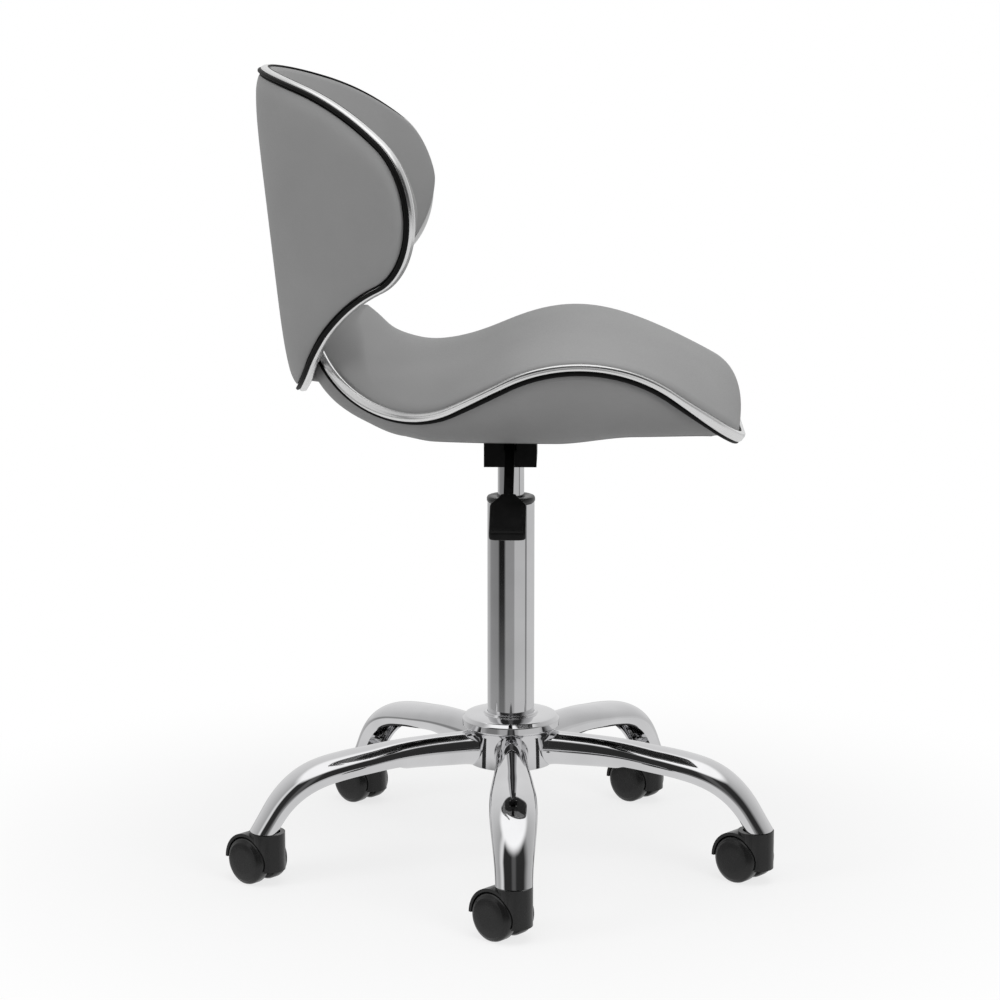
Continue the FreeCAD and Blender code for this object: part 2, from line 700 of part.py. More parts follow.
lever_tilt = doc.addObject("Part::Box", "lever_arm")
lever_tilt.setExpression("Length", linked("lever_width"))
lever_tilt.setExpression("Width", linked("lever_length"))
lever_tilt.setExpression("Height", linked("lever_thickness"))
outward = Rotation(Vector(1, 0, 0), value("lever_slope")).multiply(Rotation(Vector(0, 0, 1), 180))
elbow = Vector(0, -value("lever_elbow"), value(LEVER_HEIGHT))
lever_tilt.Placement = Placement(elbow, outward).multiply(
    Placement(Vector(-value("lever_width") / 2, 0, -value("lever_thickness") / 2), Rotation()))
node(cut(
    "lever_bar",
    joined(
        "lever_blank",
        block("lever_inner", "lever_width", "lever_elbow + lever_toe", "lever_thickness",
              "-lever_width / 2", "-lever_elbow", LEVER_UNDER),
        cylinder("lever_bend", "lever_thickness / 2", "lever_width",
                 x="-lever_width / 2", y="-lever_elbow", z=LEVER_HEIGHT, axis="x"),
        cylinder("lever_boss", "pin_diameter / 2 + lever_thickness / 2", "lever_width",
                 x="-lever_width / 2", y="-lever_pivot", z=LEVER_HEIGHT, axis="x"),
        lever_tilt),
    cylinder("lever_pin_hole", "pin_diameter / 2 + slide_fit", "lever_width",
             x="-lever_width / 2", y="-lever_pivot", z=LEVER_HEIGHT, axis="x")))

# The handle is drawn flat, with +Y pointing out along the lever, and is pushed over the lever's end
handle_body = doc.addObject("PartDesign::Body", "handle_paddle")
handle_sketch = outline_sketch(handle_body, "handle_outline", "XY_Plane", [
    ("-handle_neck / 2", "handle_start"),
    ("handle_neck / 2", "handle_start"),
    ("handle_width / 2", "handle_start + handle_shoulder"),
    ("handle_width / 2", "handle_start + handle_length - handle_corner"),
    ("handle_width / 2 - handle_corner", "handle_start + handle_length"),
    ("-handle_width / 2 + handle_corner", "handle_start + handle_length"),
    ("-handle_width / 2", "handle_start + handle_length - handle_corner"),
    ("-handle_width / 2", "handle_start + handle_shoulder"),
])
handle_pad = handle_body.newObject("PartDesign::Pad", "handle_pad")
handle_pad.Profile = handle_sketch
handle_pad.setExpression("Length", linked("handle_thickness"))
handle_pad.Midplane = True
handle_body.Tip = handle_pad
handle_blank = cut("handle_blank", handle_body, block(
    "handle_socket", "lever_width + slide_fit * 2", "lever_length - handle_start + slide_fit",
    "lever_thickness + slide_fit * 2",
    "-lever_width / 2 - slide_fit", "handle_start", "-lever_thickness / 2 - slide_fit"))
doc.recompute()
node(formed("lever_handle", solid(handle_blank.Shape.copy()), Placement(elbow, outward)))

PANEL_BOTTOM = "pan_bottom + pan_wall + cover_gap"
PANEL_TOP = PANEL_BOTTOM + " + panel_thickness"
screw = turned("plate_screw", [
    ("0", PLATE_BOTTOM + " - screw_head_height"),
    ("screw_head / 2", PLATE_BOTTOM + " - screw_head_height"),
    ("screw_head / 2", PLATE_BOTTOM),
    ("screw_diameter / 2", PLATE_BOTTOM),
    ("screw_diameter / 2", PANEL_TOP),
    ("0", PANEL_TOP),
])
tee = turned("tee_nut", [
    ("screw_diameter / 2 + slide_fit", PANEL_BOTTOM),
    ("tee_barrel / 2", PANEL_BOTTOM),
    ("tee_barrel / 2", PANEL_TOP),
    ("tee_flange / 2", PANEL_TOP),
    ("tee_flange / 2", PANEL_TOP + " + tee_flange_thickness"),
    ("screw_diameter / 2 + slide_fit", PANEL_TOP + " + tee_flange_thickness"),
])
doc.recompute()
screw_places = [Placement(Vector(value(across), value(along), 0), Rotation()) for across, along in screw_spots]
group("plate_screws", screw, screw_places)
group("tee_nuts", tee, screw_places)
node(cut(
    "seat_base_panel",
    block("panel_blank", "panel_front - panel_back", "panel_half_width * 2", "panel_thickness",
          "panel_back", "-panel_half_width", PANEL_BOTTOM),
    *screw_holes("panel_hole", "tee_barrel / 2 + slide_fit", "panel_thickness", PANEL_BOTTOM)))


# Seat line: from the tail down round the valley, up over the hump and down the front, all tangent

valley = Vector(value("valley_x"), 0, value("valley_z + valley_radius"))
hump = Vector(value("hump_x"), 0, value("hump_z - hump_radius"))
valley_radius = value("valley_radius")
hump_radius = value("hump_radius")
tail_angle = math.radians(90 - value("back_lean"))
front_drop = math.radians(value("front_drop"))
between = hump - valley
climb = math.atan2(between.x, -between.z) - math.acos((valley_radius + hump_radius) / between.Length)
climb_length = math.sqrt(between.Length ** 2 - (valley_radius + hump_radius) ** 2)
at_valley = valley_radius * tail_angle
at_climb = at_valley + valley_radius * climb
at_hump_start = at_climb + climb_length
at_front = at_hump_start + hump_radius * (climb + front_drop)
front_start_x = hump.x + hump_radius * math.sin(front_drop)
seat_length = at_front + (value("front_x") - front_start_x) / math.cos(front_drop)


def seat_line(travel):
    """The point of the seat line at a distance from the tail's end, and the line's slope there."""
    if travel < at_climb:
        turn = max((travel - at_valley) / valley_radius, -tail_angle)
        spare = min(travel, 0.0)
        point = valley + Vector(math.sin(turn), 0, -math.cos(turn)) * valley_radius
    elif travel < at_hump_start:
        turn = climb
        spare = travel - at_climb
        point = valley + Vector(math.sin(turn), 0, -math.cos(turn)) * valley_radius
    else:
        turn = max(climb - (travel - at_hump_start) / hump_radius, -front_drop)
        spare = max(travel - at_front, 0.0)
        point = hump + Vector(-math.sin(turn), 0, math.cos(turn)) * hump_radius
    return point + Vector(math.cos(turn), 0, math.sin(turn)) * spare, turn


def seat_at(travel, across, lift):
    """A place on the seat's sheet: along the line, across it, and lifted square off it."""
    point, turn = seat_line(travel)
    return point + Vector(-math.sin(turn), 0, math.cos(turn)) * lift + Vector(0, across, 0)


# Flat outlines are chains of arcs: centre, radius (negative where hollow), and the first and last direction of
# the outward normal. Gaps between arcs are straight lines.

def tangent_normal(first, first_radius, last, last_radius):
    """Direction of the normal of the line that touches two circles on their outer left side."""
    apart = math.hypot(last[0] - first[0], last[1] - first[1])
    heading = math.atan2(last[1] - first[1], last[0] - first[0])
    return heading + math.pi / 2 + math.asin((last_radius - first_radius) / apart)


def seat_outline():
    """Right half of the seat board's outline from the tail's end to the front edge, inside the trim's line."""
    inset = value("rim_inset")
    tail_radius = value("tail_radius")
    hip_radius = value("hip_radius")
    corner_radius = value("front_corner")
    tail = (tail_radius, 0.0)
    hip = (value("hip_place"), value("hip_half_width") - hip_radius)
    ahead = seat_length - corner_radius - hip[0]
    corner = (seat_length - corner_radius, hip[1] + math.sqrt((hip_radius - corner_radius) ** 2 - ahead ** 2))
    flank = tangent_normal(tail, tail_radius, hip, hip_radius)
    turn_in = math.atan2(corner[1] - hip[1], corner[0] - hip[0])
    return [(tail, tail_radius - inset, math.pi, flank), (hip, hip_radius - inset, flank, turn_in),
            (corner, corner_radius - inset, turn_in, 0.0)]


def back_outline():
    """Right half of the back board's outline from the middle of its top to its tip, inside the trim's line."""
    inset = value("rim_inset")
    top = value("back_height")
    wing = value("wing_height")
    upper_radius = value("wing_upper_radius")
    lower_radius = value("wing_lower_radius")
    tip_radius = value("tip_radius")
    upper = (value("wing_reach") - upper_radius, wing)
    lower = (value("wing_reach") - lower_radius, wing)
    rise = top - wing
    top_radius = (upper[0] ** 2 + rise ** 2 - upper_radius ** 2) / (2 * (rise - upper_radius))
    crest = (0.0, top - top_radius)
    shoulder = math.atan2(upper[1] - crest[1], upper[0] - crest[0])
    # the waist is a hollow arc that touches the lower wing's circle and the line that leaves the tip's circle
    flare = math.radians(value("tip_flare"))
    waist_radius = value("waist_radius")
    start = (tip_radius * math.sin(flare) + waist_radius * math.sin(flare) - lower[0],
             tip_radius * (1 - math.cos(flare)) - waist_radius * math.cos(flare) - lower[1])
    along = start[0] * math.cos(flare) + start[1] * math.sin(flare)
    apart = start[0] ** 2 + start[1] ** 2 - (waist_radius + lower_radius) ** 2
    run = -along - math.sqrt(along ** 2 - apart)
    waist = (lower[0] + start[0] + run * math.cos(flare), lower[1] + start[1] + run * math.sin(flare))
    hip = math.atan2(waist[1] - lower[1], waist[0] - lower[0])
    leave = flare - math.pi / 2
    return [(crest, top_radius - inset, math.pi / 2, shoulder), (upper, upper_radius - inset, shoulder, 0.0),
            (lower, lower_radius - inset, 0.0, hip), (waist, -waist_radius - inset, hip, leave),
            ((0.0, tip_radius), tip_radius - inset, leave, -math.pi / 2)]


def on_arc(centre, radius, angle):
    """The point of an arc at a direction of its normal."""
    return centre[0] + radius * math.cos(angle), centre[1] + radius * math.sin(angle)


def rim_stations(arcs, closing, spacing):
    """Points with outward normals along an outline, closer together where it turns more."""
    stations = []
    for index, (centre, radius, first, last) in enumerate(arcs):
        swing = abs(last - first)
        by_turn = math.ceil(swing / math.radians(value("rim_turn")))
        steps = max(by_turn, math.ceil(swing * abs(radius) / spacing))
        for step in range(steps + 1):
            angle = first + (last - first) * step / steps
            stations.append((*on_arc(centre, radius, angle), angle))
        ending = closing
        if index + 1 < len(arcs):
            ending = (*on_arc(arcs[index + 1][0], arcs[index + 1][1], arcs[index + 1][2]), last)
        if ending is None:
            continue
        length = math.hypot(ending[0] - stations[-1][0], ending[1] - stations[-1][1])
        start = stations[-1]
        parts = math.ceil(length / spacing)
        for step in range(1, parts + (1 if index + 1 == len(arcs) else 0)):
            share = step / parts
            stations.append((start[0] + (ending[0] - start[0]) * share,
                             start[1] + (ending[1] - start[1]) * share, last))
        if length < TOUCH and index + 1 < len(arcs):
            stations.pop()
    return stations


TOUCH = 1e-6


def height_on(arcs, along):
    """How far an outline reaches across at a distance along it."""
    for index, (centre, radius, first, last) in enumerate(arcs):
        low, high = sorted((on_arc(centre, radius, first)[0], on_arc(centre, radius, last)[0]))
        if low - TOUCH <= along <= high + TOUCH:
            across = math.sqrt(max(radius ** 2 - (along - centre[0]) ** 2, 0.0))
            return centre[1] + across * (1 if radius * math.sin((first + last) / 2) >= 0 else -1)
        if index + 1 < len(arcs):
            start = on_arc(centre, radius, last)
            end = on_arc(arcs[index + 1][0], arcs[index + 1][1], arcs[index + 1][2])
            low, high = sorted((start[0], end[0]))
            if low - TOUCH <= along <= high + TOUCH:
                return start[1] + (end[1] - start[1]) * (along - start[0]) / (end[0] - start[0])
    raise ValueError(f"{along} lies outside the outline")


seat_start = value("rim_inset")
seat_end = seat_length - value("rim_inset")
seat_arcs = seat_outline()
back_arcs = back_outline()


def lens(corners, crown):
    """A padded section: a flat base, two short sides and an arc over them through the crown."""
    base_left, base_right, side_right, side_left = corners
    return Part.Wire([
        Part.LineSegment(base_left, base_right).toShape(),
        Part.LineSegment(base_right, side_right).toShape(),
        Part.Arc(side_right, crown, side_left).toShape(),
        Part.LineSegment(side_left, base_left).toShape(),
    ])


# Seat layers: plywood board, padded cushion above it and an upholstered pan below it

def evenly(first, last, spacing):
    """Distances from first to last, both included, no further apart than the spacing."""
    steps = math.ceil((last - first) / spacing)
    return [first + (last - first) * step / steps for step in range(steps + 1)]


def seat_stations():
    """Distances along the seat, closer together at the rounded ends."""
    tail_radius = value("tail_radius - rim_inset")
    corner_radius = value("front_corner - rim_inset")
    tail = [seat_start + tail_radius * (1 - math.cos(math.radians(angle))) for angle in (18, 30, 45, 60, 75)]
    nose = [seat_end - corner_radius * (1 - math.cos(math.radians(angle))) for angle in (75, 60, 45, 30, 15, 0)]
    middle = evenly(tail[-1], nose[0], value("loft_spacing"))
    return tail + middle[1:-1] + nose


def seat_crown(travel):
    """The cushion's thickness on its middle line: thick at the tail and nose, thin on the hump."""
    thick = blend(value("seat_crown_tail"), value("seat_crown_hump"),
                  (travel - at_valley) / (at_hump_start - at_valley))
    thick += blend(0.0, value("seat_crown_nose - seat_crown_hump"),
                   (travel - at_front + value("nose_round") / 2) / value("nose_round * 1.5"))
    past = max((travel - seat_end + value("nose_round")) / value("nose_round"), 0.0)
    short = max(1 - (travel - seat_start) / value("tail_round"), 0.0)
    thick *= (1 - past ** 2) ** value("nose_fullness") * math.sqrt(1 - short ** 2)
    return max(thick, value("seat_crown_least"))


def seat_cushion_section(travel):
    """The cushion's section: sides drawn up steeply where it is thick, then an arc."""
    half = height_on(seat_arcs, travel) - value("pad_inset")
    crown = seat_crown(travel)
    edge = value("seat_edge") * min(1.0, crown / value("seat_crown_hump"))
    side = max(edge, crown - value("seat_dome") * half)
    base = value("cover_gap")
    return lens((seat_at(travel, -half, base), seat_at(travel, half, base),
                 seat_at(travel, half, base + side), seat_at(travel, -half, base + side)),
                seat_at(travel, 0, base + crown))


def seat_board_section(travel):
    """The board's section: a plain rectangle under the seat line."""
    half = height_on(seat_arcs, travel)
    deep = -value("seat_board")
    return Part.makePolygon([seat_at(travel, -half, 0), seat_at(travel, half, 0), seat_at(travel, half, deep),
                             seat_at(travel, -half, deep), seat_at(travel, -half, 0)])


def pan_floor(x):
    """Height of the pan's underside: level over the mechanism, a little higher to the front."""
    start = value("panel_front")
    return blend(value("pan_bottom"), value("pan_bottom + pan_rise"), (x - start) / value("pan_rise_length"))


def pan_depth(travel):
    """Where the pan starts under the board, which way its depth runs, and how deep it is."""
    point, turn = seat_line(travel)
    under = value("seat_board + cover_gap")
    if travel <= at_valley:
        down = Vector(math.sin(turn), 0, -math.cos(turn))
        full = value("valley_z - seat_board - cover_gap - pan_bottom")
        tail = value("pan_tail_depth - seat_board / 2")
        share = turn / math.radians(value("pan_tail_angle"))
        return point + down * under, down, blend(full, tail, share ** 2)
    down = Vector(0, 0, -1)
    top = point + down * (under / math.cos(turn))
    return top, down, max(top.z - pan_floor(point.x), value("pan_front_depth"))


def pan_section(travel, inset):
    """The pan's section: a line under the board, bulging sides and a flat floor, hollowed by an inset."""
    top, down, depth = pan_depth(travel)
    half = height_on(seat_arcs, travel) - value("pan_edge") - inset
    flat = half * value("pan_flat_share")
    depth -= inset
    if inset:
        top = top - down * value("cover_gap")
        depth += value("cover_gap")
    edges = []
    for first, last, sign in ((half, flat, 1), (-half, -flat, -1)):
        upper = top + Vector(0, first, 0)
        lower = top + Vector(0, last, 0) + down * depth
        outward = Vector(0, sign, 0) * depth + down * (half - flat)
        outward.normalize()
        bulge = value("pan_bulge_share") * min(depth, half - flat)
        edges.append((upper, (upper + lower) * 0.5 + outward * bulge, lower))
    (right_top, right_middle, right_low), (left_top, left_middle, left_low) = edges
    return Part.Wire([
        Part.LineSegment(left_top, right_top).toShape(),
        Part.Arc(right_top, right_middle, right_low).toShape(),
        Part.LineSegment(right_low, left_low).toShape(),
        Part.Arc(left_low, left_middle, left_top).toShape(),
    ])


def extruded(edges, half_width):
    """A closed outline in the XZ plane carried across the seat to both sides."""
    face = Part.Face(Part.Wire(edges))
    face.translate(Vector(0, -half_width, 0))
    return face.extrude(Vector(0, half_width * 2, 0))


def seat_arc(start, end, lift):
    """An arc of the seat line at a lift, between two distances on one of its bends."""
    return Part.Arc(*[seat_at(travel, 0, lift) for travel in (start, (start + end) / 2, end)]).toShape()


def seat_line_edge(start, end, lift_start, lift_end):
    """A straight edge between two places on the seat's middle."""
    return Part.LineSegment(seat_at(start, 0, lift_start), seat_at(end, 0, lift_end)).toShape()


bracket_near = -value("seat_board + cover_gap")
bracket_far = bracket_near - value("bracket_thickness")
bracket_foot = at_valley + value("bracket_foot")
bracket_top = -value("bracket_rise")


def bracket_band(near, far, half_width):
    """The bracket's bent bar between two lifts: round the valley under the board, then straight up."""
    return extruded([
        seat_arc(bracket_foot, 0, near),
        seat_line_edge(0, bracket_top, near, near),
        seat_line_edge(bracket_top, bracket_top, near, far),
        seat_line_edge(bracket_top, 0, far, far),
        seat_arc(0, bracket_foot, far),
        seat_line_edge(bracket_foot, bracket_foot, far, near),
    ], half_width)


def drilled(shape, spots, radius, reach):
    """A solid with a bore through each spot, along the spot's direction."""
    for spot, direction in spots:
        shape = shape.cut(Part.makeCylinder(radius, reach * 2, spot - direction * reach, direction))
    return shape


def seat_spot(travel):
    """A screw's place and direction under the seat line."""
    point, turn = seat_line(travel)
    return seat_at(travel, 0, bracket_far), Vector(-math.sin(turn), 0, math.cos(turn))


bracket_seat_spots = [seat_spot(at_valley), seat_spot(at_valley - value("tail_radius") / 2)]
back_forward = Vector(math.cos(math.radians(value("back_lean"))), 0, math.sin(math.radians(value("back_lean"))))
back_upward = Vector(-back_forward.z, 0, back_forward.x)
bracket_bow = value("bracket_width * bracket_width / 8 / (back_radius - back_board)")
contact = bracket_bow + value("valley_radius + seat_board + cover_gap + bracket_thickness + back_board / 2")
back_foot = valley - back_forward * contact - back_upward * value("back_tip_drop")
bracket_back_spots = [
    (valley - back_forward * (contact + value("back_board") / 2) + back_upward * value("bracket_rise") * share,
     back_forward) for share in (0.35, 0.75)]

screw_radius = value("screw_diameter / 2 + slide_fit")
screw_reach = value("bracket_thickness + seat_board")
stations = seat_stations()
board = Part.makeLoft([seat_board_section(travel) for travel in stations], True, False)
node(formed("seat_board", solid(drilled(board, bracket_seat_spots, screw_radius, screw_reach))))
node(formed("seat_cushion", Part.makeLoft([seat_cushion_section(travel) for travel in stations], True, False)))

pan_start = at_valley - valley_radius * math.radians(value("pan_tail_angle"))
pan_spacing = value("loft_spacing")
pan_stations = evenly(pan_start, at_valley, pan_spacing)
pan_stations += evenly(at_valley, seat_end - value("nose_round") / 2, pan_spacing)[1:]
hollow_stations = [travel for travel in pan_stations[1:] if pan_depth(travel)[2] > value("pan_wall") * 2]
pan_stations.append(seat_end - value("pan_wall") * 2)
pan = Part.makeLoft([pan_section(travel, 0.0) for travel in pan_stations], True, False)
hollow = Part.makeLoft([pan_section(travel, value("pan_wall")) for travel in hollow_stations], True, False)
channel = bracket_band(bracket_near + value("seat_board") / 2, bracket_far - value("cover_gap"),
                       value("bracket_width / 2 + cover_gap"))
pan = pan.cut(hollow).cut(channel)
pan_screws = [(Vector(value(across), value(along), value("pan_bottom")), Vector(0, 0, 1))
              for across, along in screw_spots]
node(formed("seat_shell", solid(drilled(pan, pan_screws, value("screw_diameter / 2 + run_gap"),
                                        value("pan_wall + cover_gap")))))

under_board = -value("seat_board + cover_gap")
above = extruded([
    seat_arc(at_valley, at_climb, under_board),
    seat_line_edge(at_climb, at_hump_start, under_board, under_board),
    seat_arc(at_hump_start, at_front, under_board),
    seat_line_edge(at_front, at_front, under_board, valley_radius),
    seat_line_edge(at_front, at_valley, valley_radius, valley_radius),
    seat_line_edge(at_valley, at_valley, valley_radius, under_board),
], value("hip_half_width"))
formers = []
for sign in (-1, 1):
    former = Part.makeBox(
        value("panel_front - panel_back"), value("former_thickness"), valley_radius,
        Vector(value("panel_back"), sign * value("former_place") - value("former_thickness") / 2,
               value(PANEL_TOP)))
    formers.append(former.cut(above).Solids[0])
node(formed("seat_formers", Part.makeCompound(formers)))


def rim_frame(place, station):
    """The point of the rim at a station, its outward direction and its lift direction."""
    along, across, angle = station
    point = place(along, across, 0)
    outward = place(along + math.cos(angle), across + math.sin(angle), 0) - point
    return point, outward.normalize(), place(along, across, 1) - point


def strip_section(place, station, trim):
    """Section of the chrome trim at a rim station: flat against the rim, rounded outside."""
    near, far, low, high, bulge = trim
    point, outward, upward = rim_frame(place, station)

    def at(reach, lift):
        return point + outward * reach + upward * lift

    return Part.Wire([
        Part.LineSegment(at(near, low), at(near, high)).toShape(),
        Part.LineSegment(at(near, high), at(far, high)).toShape(),
        Part.Arc(at(far, high), at(far + bulge, (low + high) / 2), at(far, low)).toShape(),
        Part.LineSegment(at(far, low), at(near, low)).toShape(),
    ])


def bead_section(place, station, outward, lift, radius):
    """Section of the piping at a rim station: a small hexagon."""
    point, out_way, up_way = rim_frame(place, station)
    points = []
    for step in range(6):
        turn = math.radians(60 * step)
        points.append(point + out_way * (outward + radius * math.cos(turn))
                      + up_way * (lift + radius * math.sin(turn)))
    return Part.makePolygon(points + points[:1])


def both_sides(shape):
    """A strip and its mirror image across the seat's middle plane."""
    return Part.makeCompound([shape, shape.mirror(Vector(), Vector(0, 1, 0))])


seat_rim = rim_stations(seat_arcs, (seat_end, 0.0, 0.0), value("rim_spacing"))
trim_near = value("trim_gap")
seat_trim = (trim_near, value("trim_gap + trim_depth"), -value("seat_trim_drop"), value("trim_rise"),
             value("trim_round"))
node(formed("seat_trim", both_sides(Part.makeLoft(
    [strip_section(seat_at, station, seat_trim) for station in seat_rim], True, False))))
piping_radius = value("piping_diameter / 2")
piping_out = piping_radius + value("trim_gap + run_gap")
seat_bead = (piping_out, -value("seat_trim_drop + run_gap") - piping_radius, piping_radius)
node(formed("seat_piping", both_sides(Part.makeLoft(
    [bead_section(seat_at, station, *seat_bead) for station in seat_rim
     if station[0] > value("piping_start")], True, False))))


# Back: a board bent about an upright line, padded in front and behind, on a steel bracket from the seat

def back_at(around, up, lift):
    """A place on the back's sheet: around its wrap, up it, and lifted forward square off it."""
    wrap = math.radians(value("back_wrap"))
    radius = value("back_radius")
    side = 1 if around >= 0 else -1
    turn = min(abs(around) / radius, wrap)
    straight = max(abs(around) - radius * wrap, 0.0)
    ahead = radius * (1 - math.cos(turn)) + straight * math.sin(turn) + lift * math.cos(turn)
    across = radius * math.sin(turn) + straight * math.cos(turn) - lift * math.sin(turn)
    return back_foot + back_upward * up + back_forward * ahead + Vector(0, side * across, 0)


def back_stations():
    """Distances around the back, closer together at the wings' ends."""
    edge = value("wing_reach - rim_inset")
    wing = value("wing_lower_radius")
    ends = [edge - wing * (1 - math.cos(math.radians(angle))) for angle in (15, 32, 50, 70)]
    tip = [value("tip_radius") * share for share in (0.0, 0.35, 0.7, 1.0)]
    half = tip[:-1] + evenly(tip[-1], ends[-1], value("rim_spacing"))[:-1] + ends[::-1]
    return [-around for around in reversed(half)] + half[1:]


upper_arcs = back_arcs[:2]
lower_arcs = back_arcs[2:]


def back_span(around):
    """Lowest and highest point of the back at a distance around it."""
    return height_on(lower_arcs, abs(around)), height_on(upper_arcs, abs(around))


def back_board_section(around):
    """The back board's section: an upright rectangle."""
    low, high = back_span(around)
    half = value("back_board") / 2
    return Part.makePolygon([back_at(around, low, -half), back_at(around, high, -half),
                             back_at(around, high, half), back_at(around, low, half),
                             back_at(around, low, -half)])


def back_pad_section(around, front):
    """A pad's section on the board's front or rear, with short sides and an arc."""
    low, high = back_span(around)
    low += value("pad_inset")
    high -= value("pad_inset")
    base = value("back_board / 2 + cover_gap")
    share = abs(around) / value("wing_reach")
    if front:
        notch = value("notch_height") * (1 - (around / value("notch_half_width")) ** 2)
        notch += height_on(lower_arcs, value("notch_half_width")) * (around / value("notch_half_width")) ** 2
        if abs(around) < value("notch_half_width"):
            low = max(low, notch)
        crown = blend(value("back_crown"), value("back_crown_wing"), share)
        edge = value("back_edge")
    else:
        crown = blend(value("back_shell_crown"), value("back_shell_edge * 2"), share)
        edge = value("back_shell_edge")
    crown = max(min(crown, (high - low) / 3), edge + 1)
    sign = 1 if front else -1
    return lens((back_at(around, low, sign * base), back_at(around, high, sign * base),
                 back_at(around, high, sign * (base + edge)), back_at(around, low, sign * (base + edge))),
                back_at(around, (low + high) / 2, sign * (base + crown)))


bracket = bracket_band(bracket_near, bracket_far, value("bracket_width") / 2)
bracket = drilled(bracket, bracket_seat_spots, screw_radius, screw_reach)
node(formed("back_bracket", solid(drilled(bracket, bracket_back_spots, screw_radius, screw_reach))))


def bracket_screw(spot, direction, length):
    """A flat-headed screw whose head's underside lies at a spot."""
    head_height = value("screw_head_height")
    head_radius = value("bracket_screw_head") / 2
    head = Part.makeCylinder(head_radius, head_height, spot - direction * head_height, direction)
    return head.fuse(Part.makeCylinder(value("screw_diameter") / 2, length, spot, direction)).removeSplitter()


bracket_screws = [bracket_screw(spot, direction, value("bracket_thickness + seat_board - cover_gap * 2"))
                  for spot, direction in bracket_seat_spots]
bracket_screws += [bracket_screw(spot, direction, value("back_board + bracket_thickness"))
                   for spot, direction in bracket_back_spots]
node(formed("bracket_screws", Part.makeCompound([solid(item) for item in bracket_screws])))

arounds = back_stations()
board = Part.makeLoft([back_board_section(around) for around in arounds], True, False)
node(formed("back_board", solid(drilled(board, bracket_back_spots, screw_radius, screw_reach))))
cushion = Part.makeLoft([back_pad_section(around, True) for around in arounds], True, False)
slot = Part.makeBox(
    bracket_bow + value("bracket_thickness + cover_gap"), value("bracket_width + cover_gap * 2"),
    value("bracket_rise + cover_gap"))
slot_corner = back_foot + back_upward * value("back_tip_drop") + back_forward * value("back_board / 2")
slot.Placement = Placement(
    slot_corner - Vector(0, value("bracket_width / 2 + cover_gap"), 0),
    Rotation(Vector(0, 1, 0), -value("back_lean")))
node(formed("back_cushion", solid(cushion.cut(slot))))
shell = Part.makeLoft([back_pad_section(around, False) for around in arounds], True, False)
head_room = value("bracket_screw_head / 2 + cover_gap")
for spot, direction in bracket_back_spots:
    shell = shell.cut(Part.makeCylinder(
        head_room, value("screw_head_height + cover_gap"),
        spot - direction * value("screw_head_height + cover_gap"), direction))
node(formed("back_shell", solid(shell)))

back_rim = rim_stations(back_arcs, None, value("rim_spacing"))
back_trim = (trim_near, value("trim_gap + trim_depth"), -value("back_trim_half"), value("back_trim_half"),
             value("trim_round"))
node(formed("back_trim", both_sides(Part.makeLoft(
    [strip_section(back_at, station, back_trim) for station in back_rim], True, False))))
back_bead = (piping_out, -value("back_trim_half + run_gap") - piping_radius, piping_radius)
node(formed("back_piping", both_sides(Part.makeLoft(
    [bead_section(back_at, station, *back_bead) for station in back_rim], True, False))))


# Every object has to be sound before any file is written

doc.recompute()
for item in doc.Objects:
    if "Invalid" in item.State or "Error" in item.State:
        raise RuntimeError(f"{item.Label} failed: {item.State}")
os.makedirs("parts", exist_ok=True)
for item in nodes:
    if item.Shape.isNull() or not item.Shape.isValid() or not item.Shape.Solids:
        raise RuntimeError(f"{item.Label} has no valid solid")
for item in nodes:
    item.Shape.exportStep(f"parts/{item.Label}.step")
print(f"{len(nodes)} nodes written")
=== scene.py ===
"""A work stool: five-armed chrome base on casters, gas column, saddle seat and wrapped back in grey vinyl."""
import math

import bmesh
import bpy
import numpy as np
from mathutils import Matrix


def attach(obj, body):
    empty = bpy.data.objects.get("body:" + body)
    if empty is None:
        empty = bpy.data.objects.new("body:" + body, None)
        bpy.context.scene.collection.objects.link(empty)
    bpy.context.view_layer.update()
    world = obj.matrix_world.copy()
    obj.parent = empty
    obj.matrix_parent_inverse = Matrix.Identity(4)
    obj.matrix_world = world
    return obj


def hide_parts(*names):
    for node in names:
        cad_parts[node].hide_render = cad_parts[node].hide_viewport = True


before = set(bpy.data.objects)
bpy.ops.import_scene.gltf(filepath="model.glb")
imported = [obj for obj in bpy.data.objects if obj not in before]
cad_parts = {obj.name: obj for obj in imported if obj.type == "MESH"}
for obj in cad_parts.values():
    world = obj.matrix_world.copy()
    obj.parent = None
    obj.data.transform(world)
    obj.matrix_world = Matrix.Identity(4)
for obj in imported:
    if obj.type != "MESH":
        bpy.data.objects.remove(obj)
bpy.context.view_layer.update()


# Hub of the base: a steel pressing, turned and bevelled round its flange, with a collar that grips the
# column's tube. It is chromed in one go with the arms that are welded to it.
def skin(name, rows, wrap=True, ends=True, crease=40):
    """A mesh piece in metres from a grid of points in millimetres, shape (rows, points in a row, 3).

    Each point is joined to its neighbours in its row and in the next row. wrap joins a row's last point to its
    first, ends closes the first and last rows with a face. Points that fall together are merged, faces are
    turned outwards, and edges sharper than crease degrees stay sharp.
    """
    rows = np.asarray(rows, float)
    count, ring = rows.shape[:2]
    index = np.arange(count * ring).reshape(count, ring)
    joined = np.column_stack([index, index[:, 0]]) if wrap else index
    quads = np.stack([joined[:-1, :-1], joined[:-1, 1:], joined[1:, 1:], joined[1:, :-1]], axis=-1)
    faces = quads.reshape(-1, 4).tolist()
    if ends:
        faces += [index[0, ::-1].tolist(), index[-1].tolist()]
    mesh = bpy.data.meshes.new(name)
    mesh.from_pydata((rows.reshape(-1, 3) / 1000).tolist(), [], faces)
    settled(mesh, crease)
    piece = bpy.data.objects.new(name, mesh)
    bpy.context.scene.collection.objects.link(piece)
    return piece


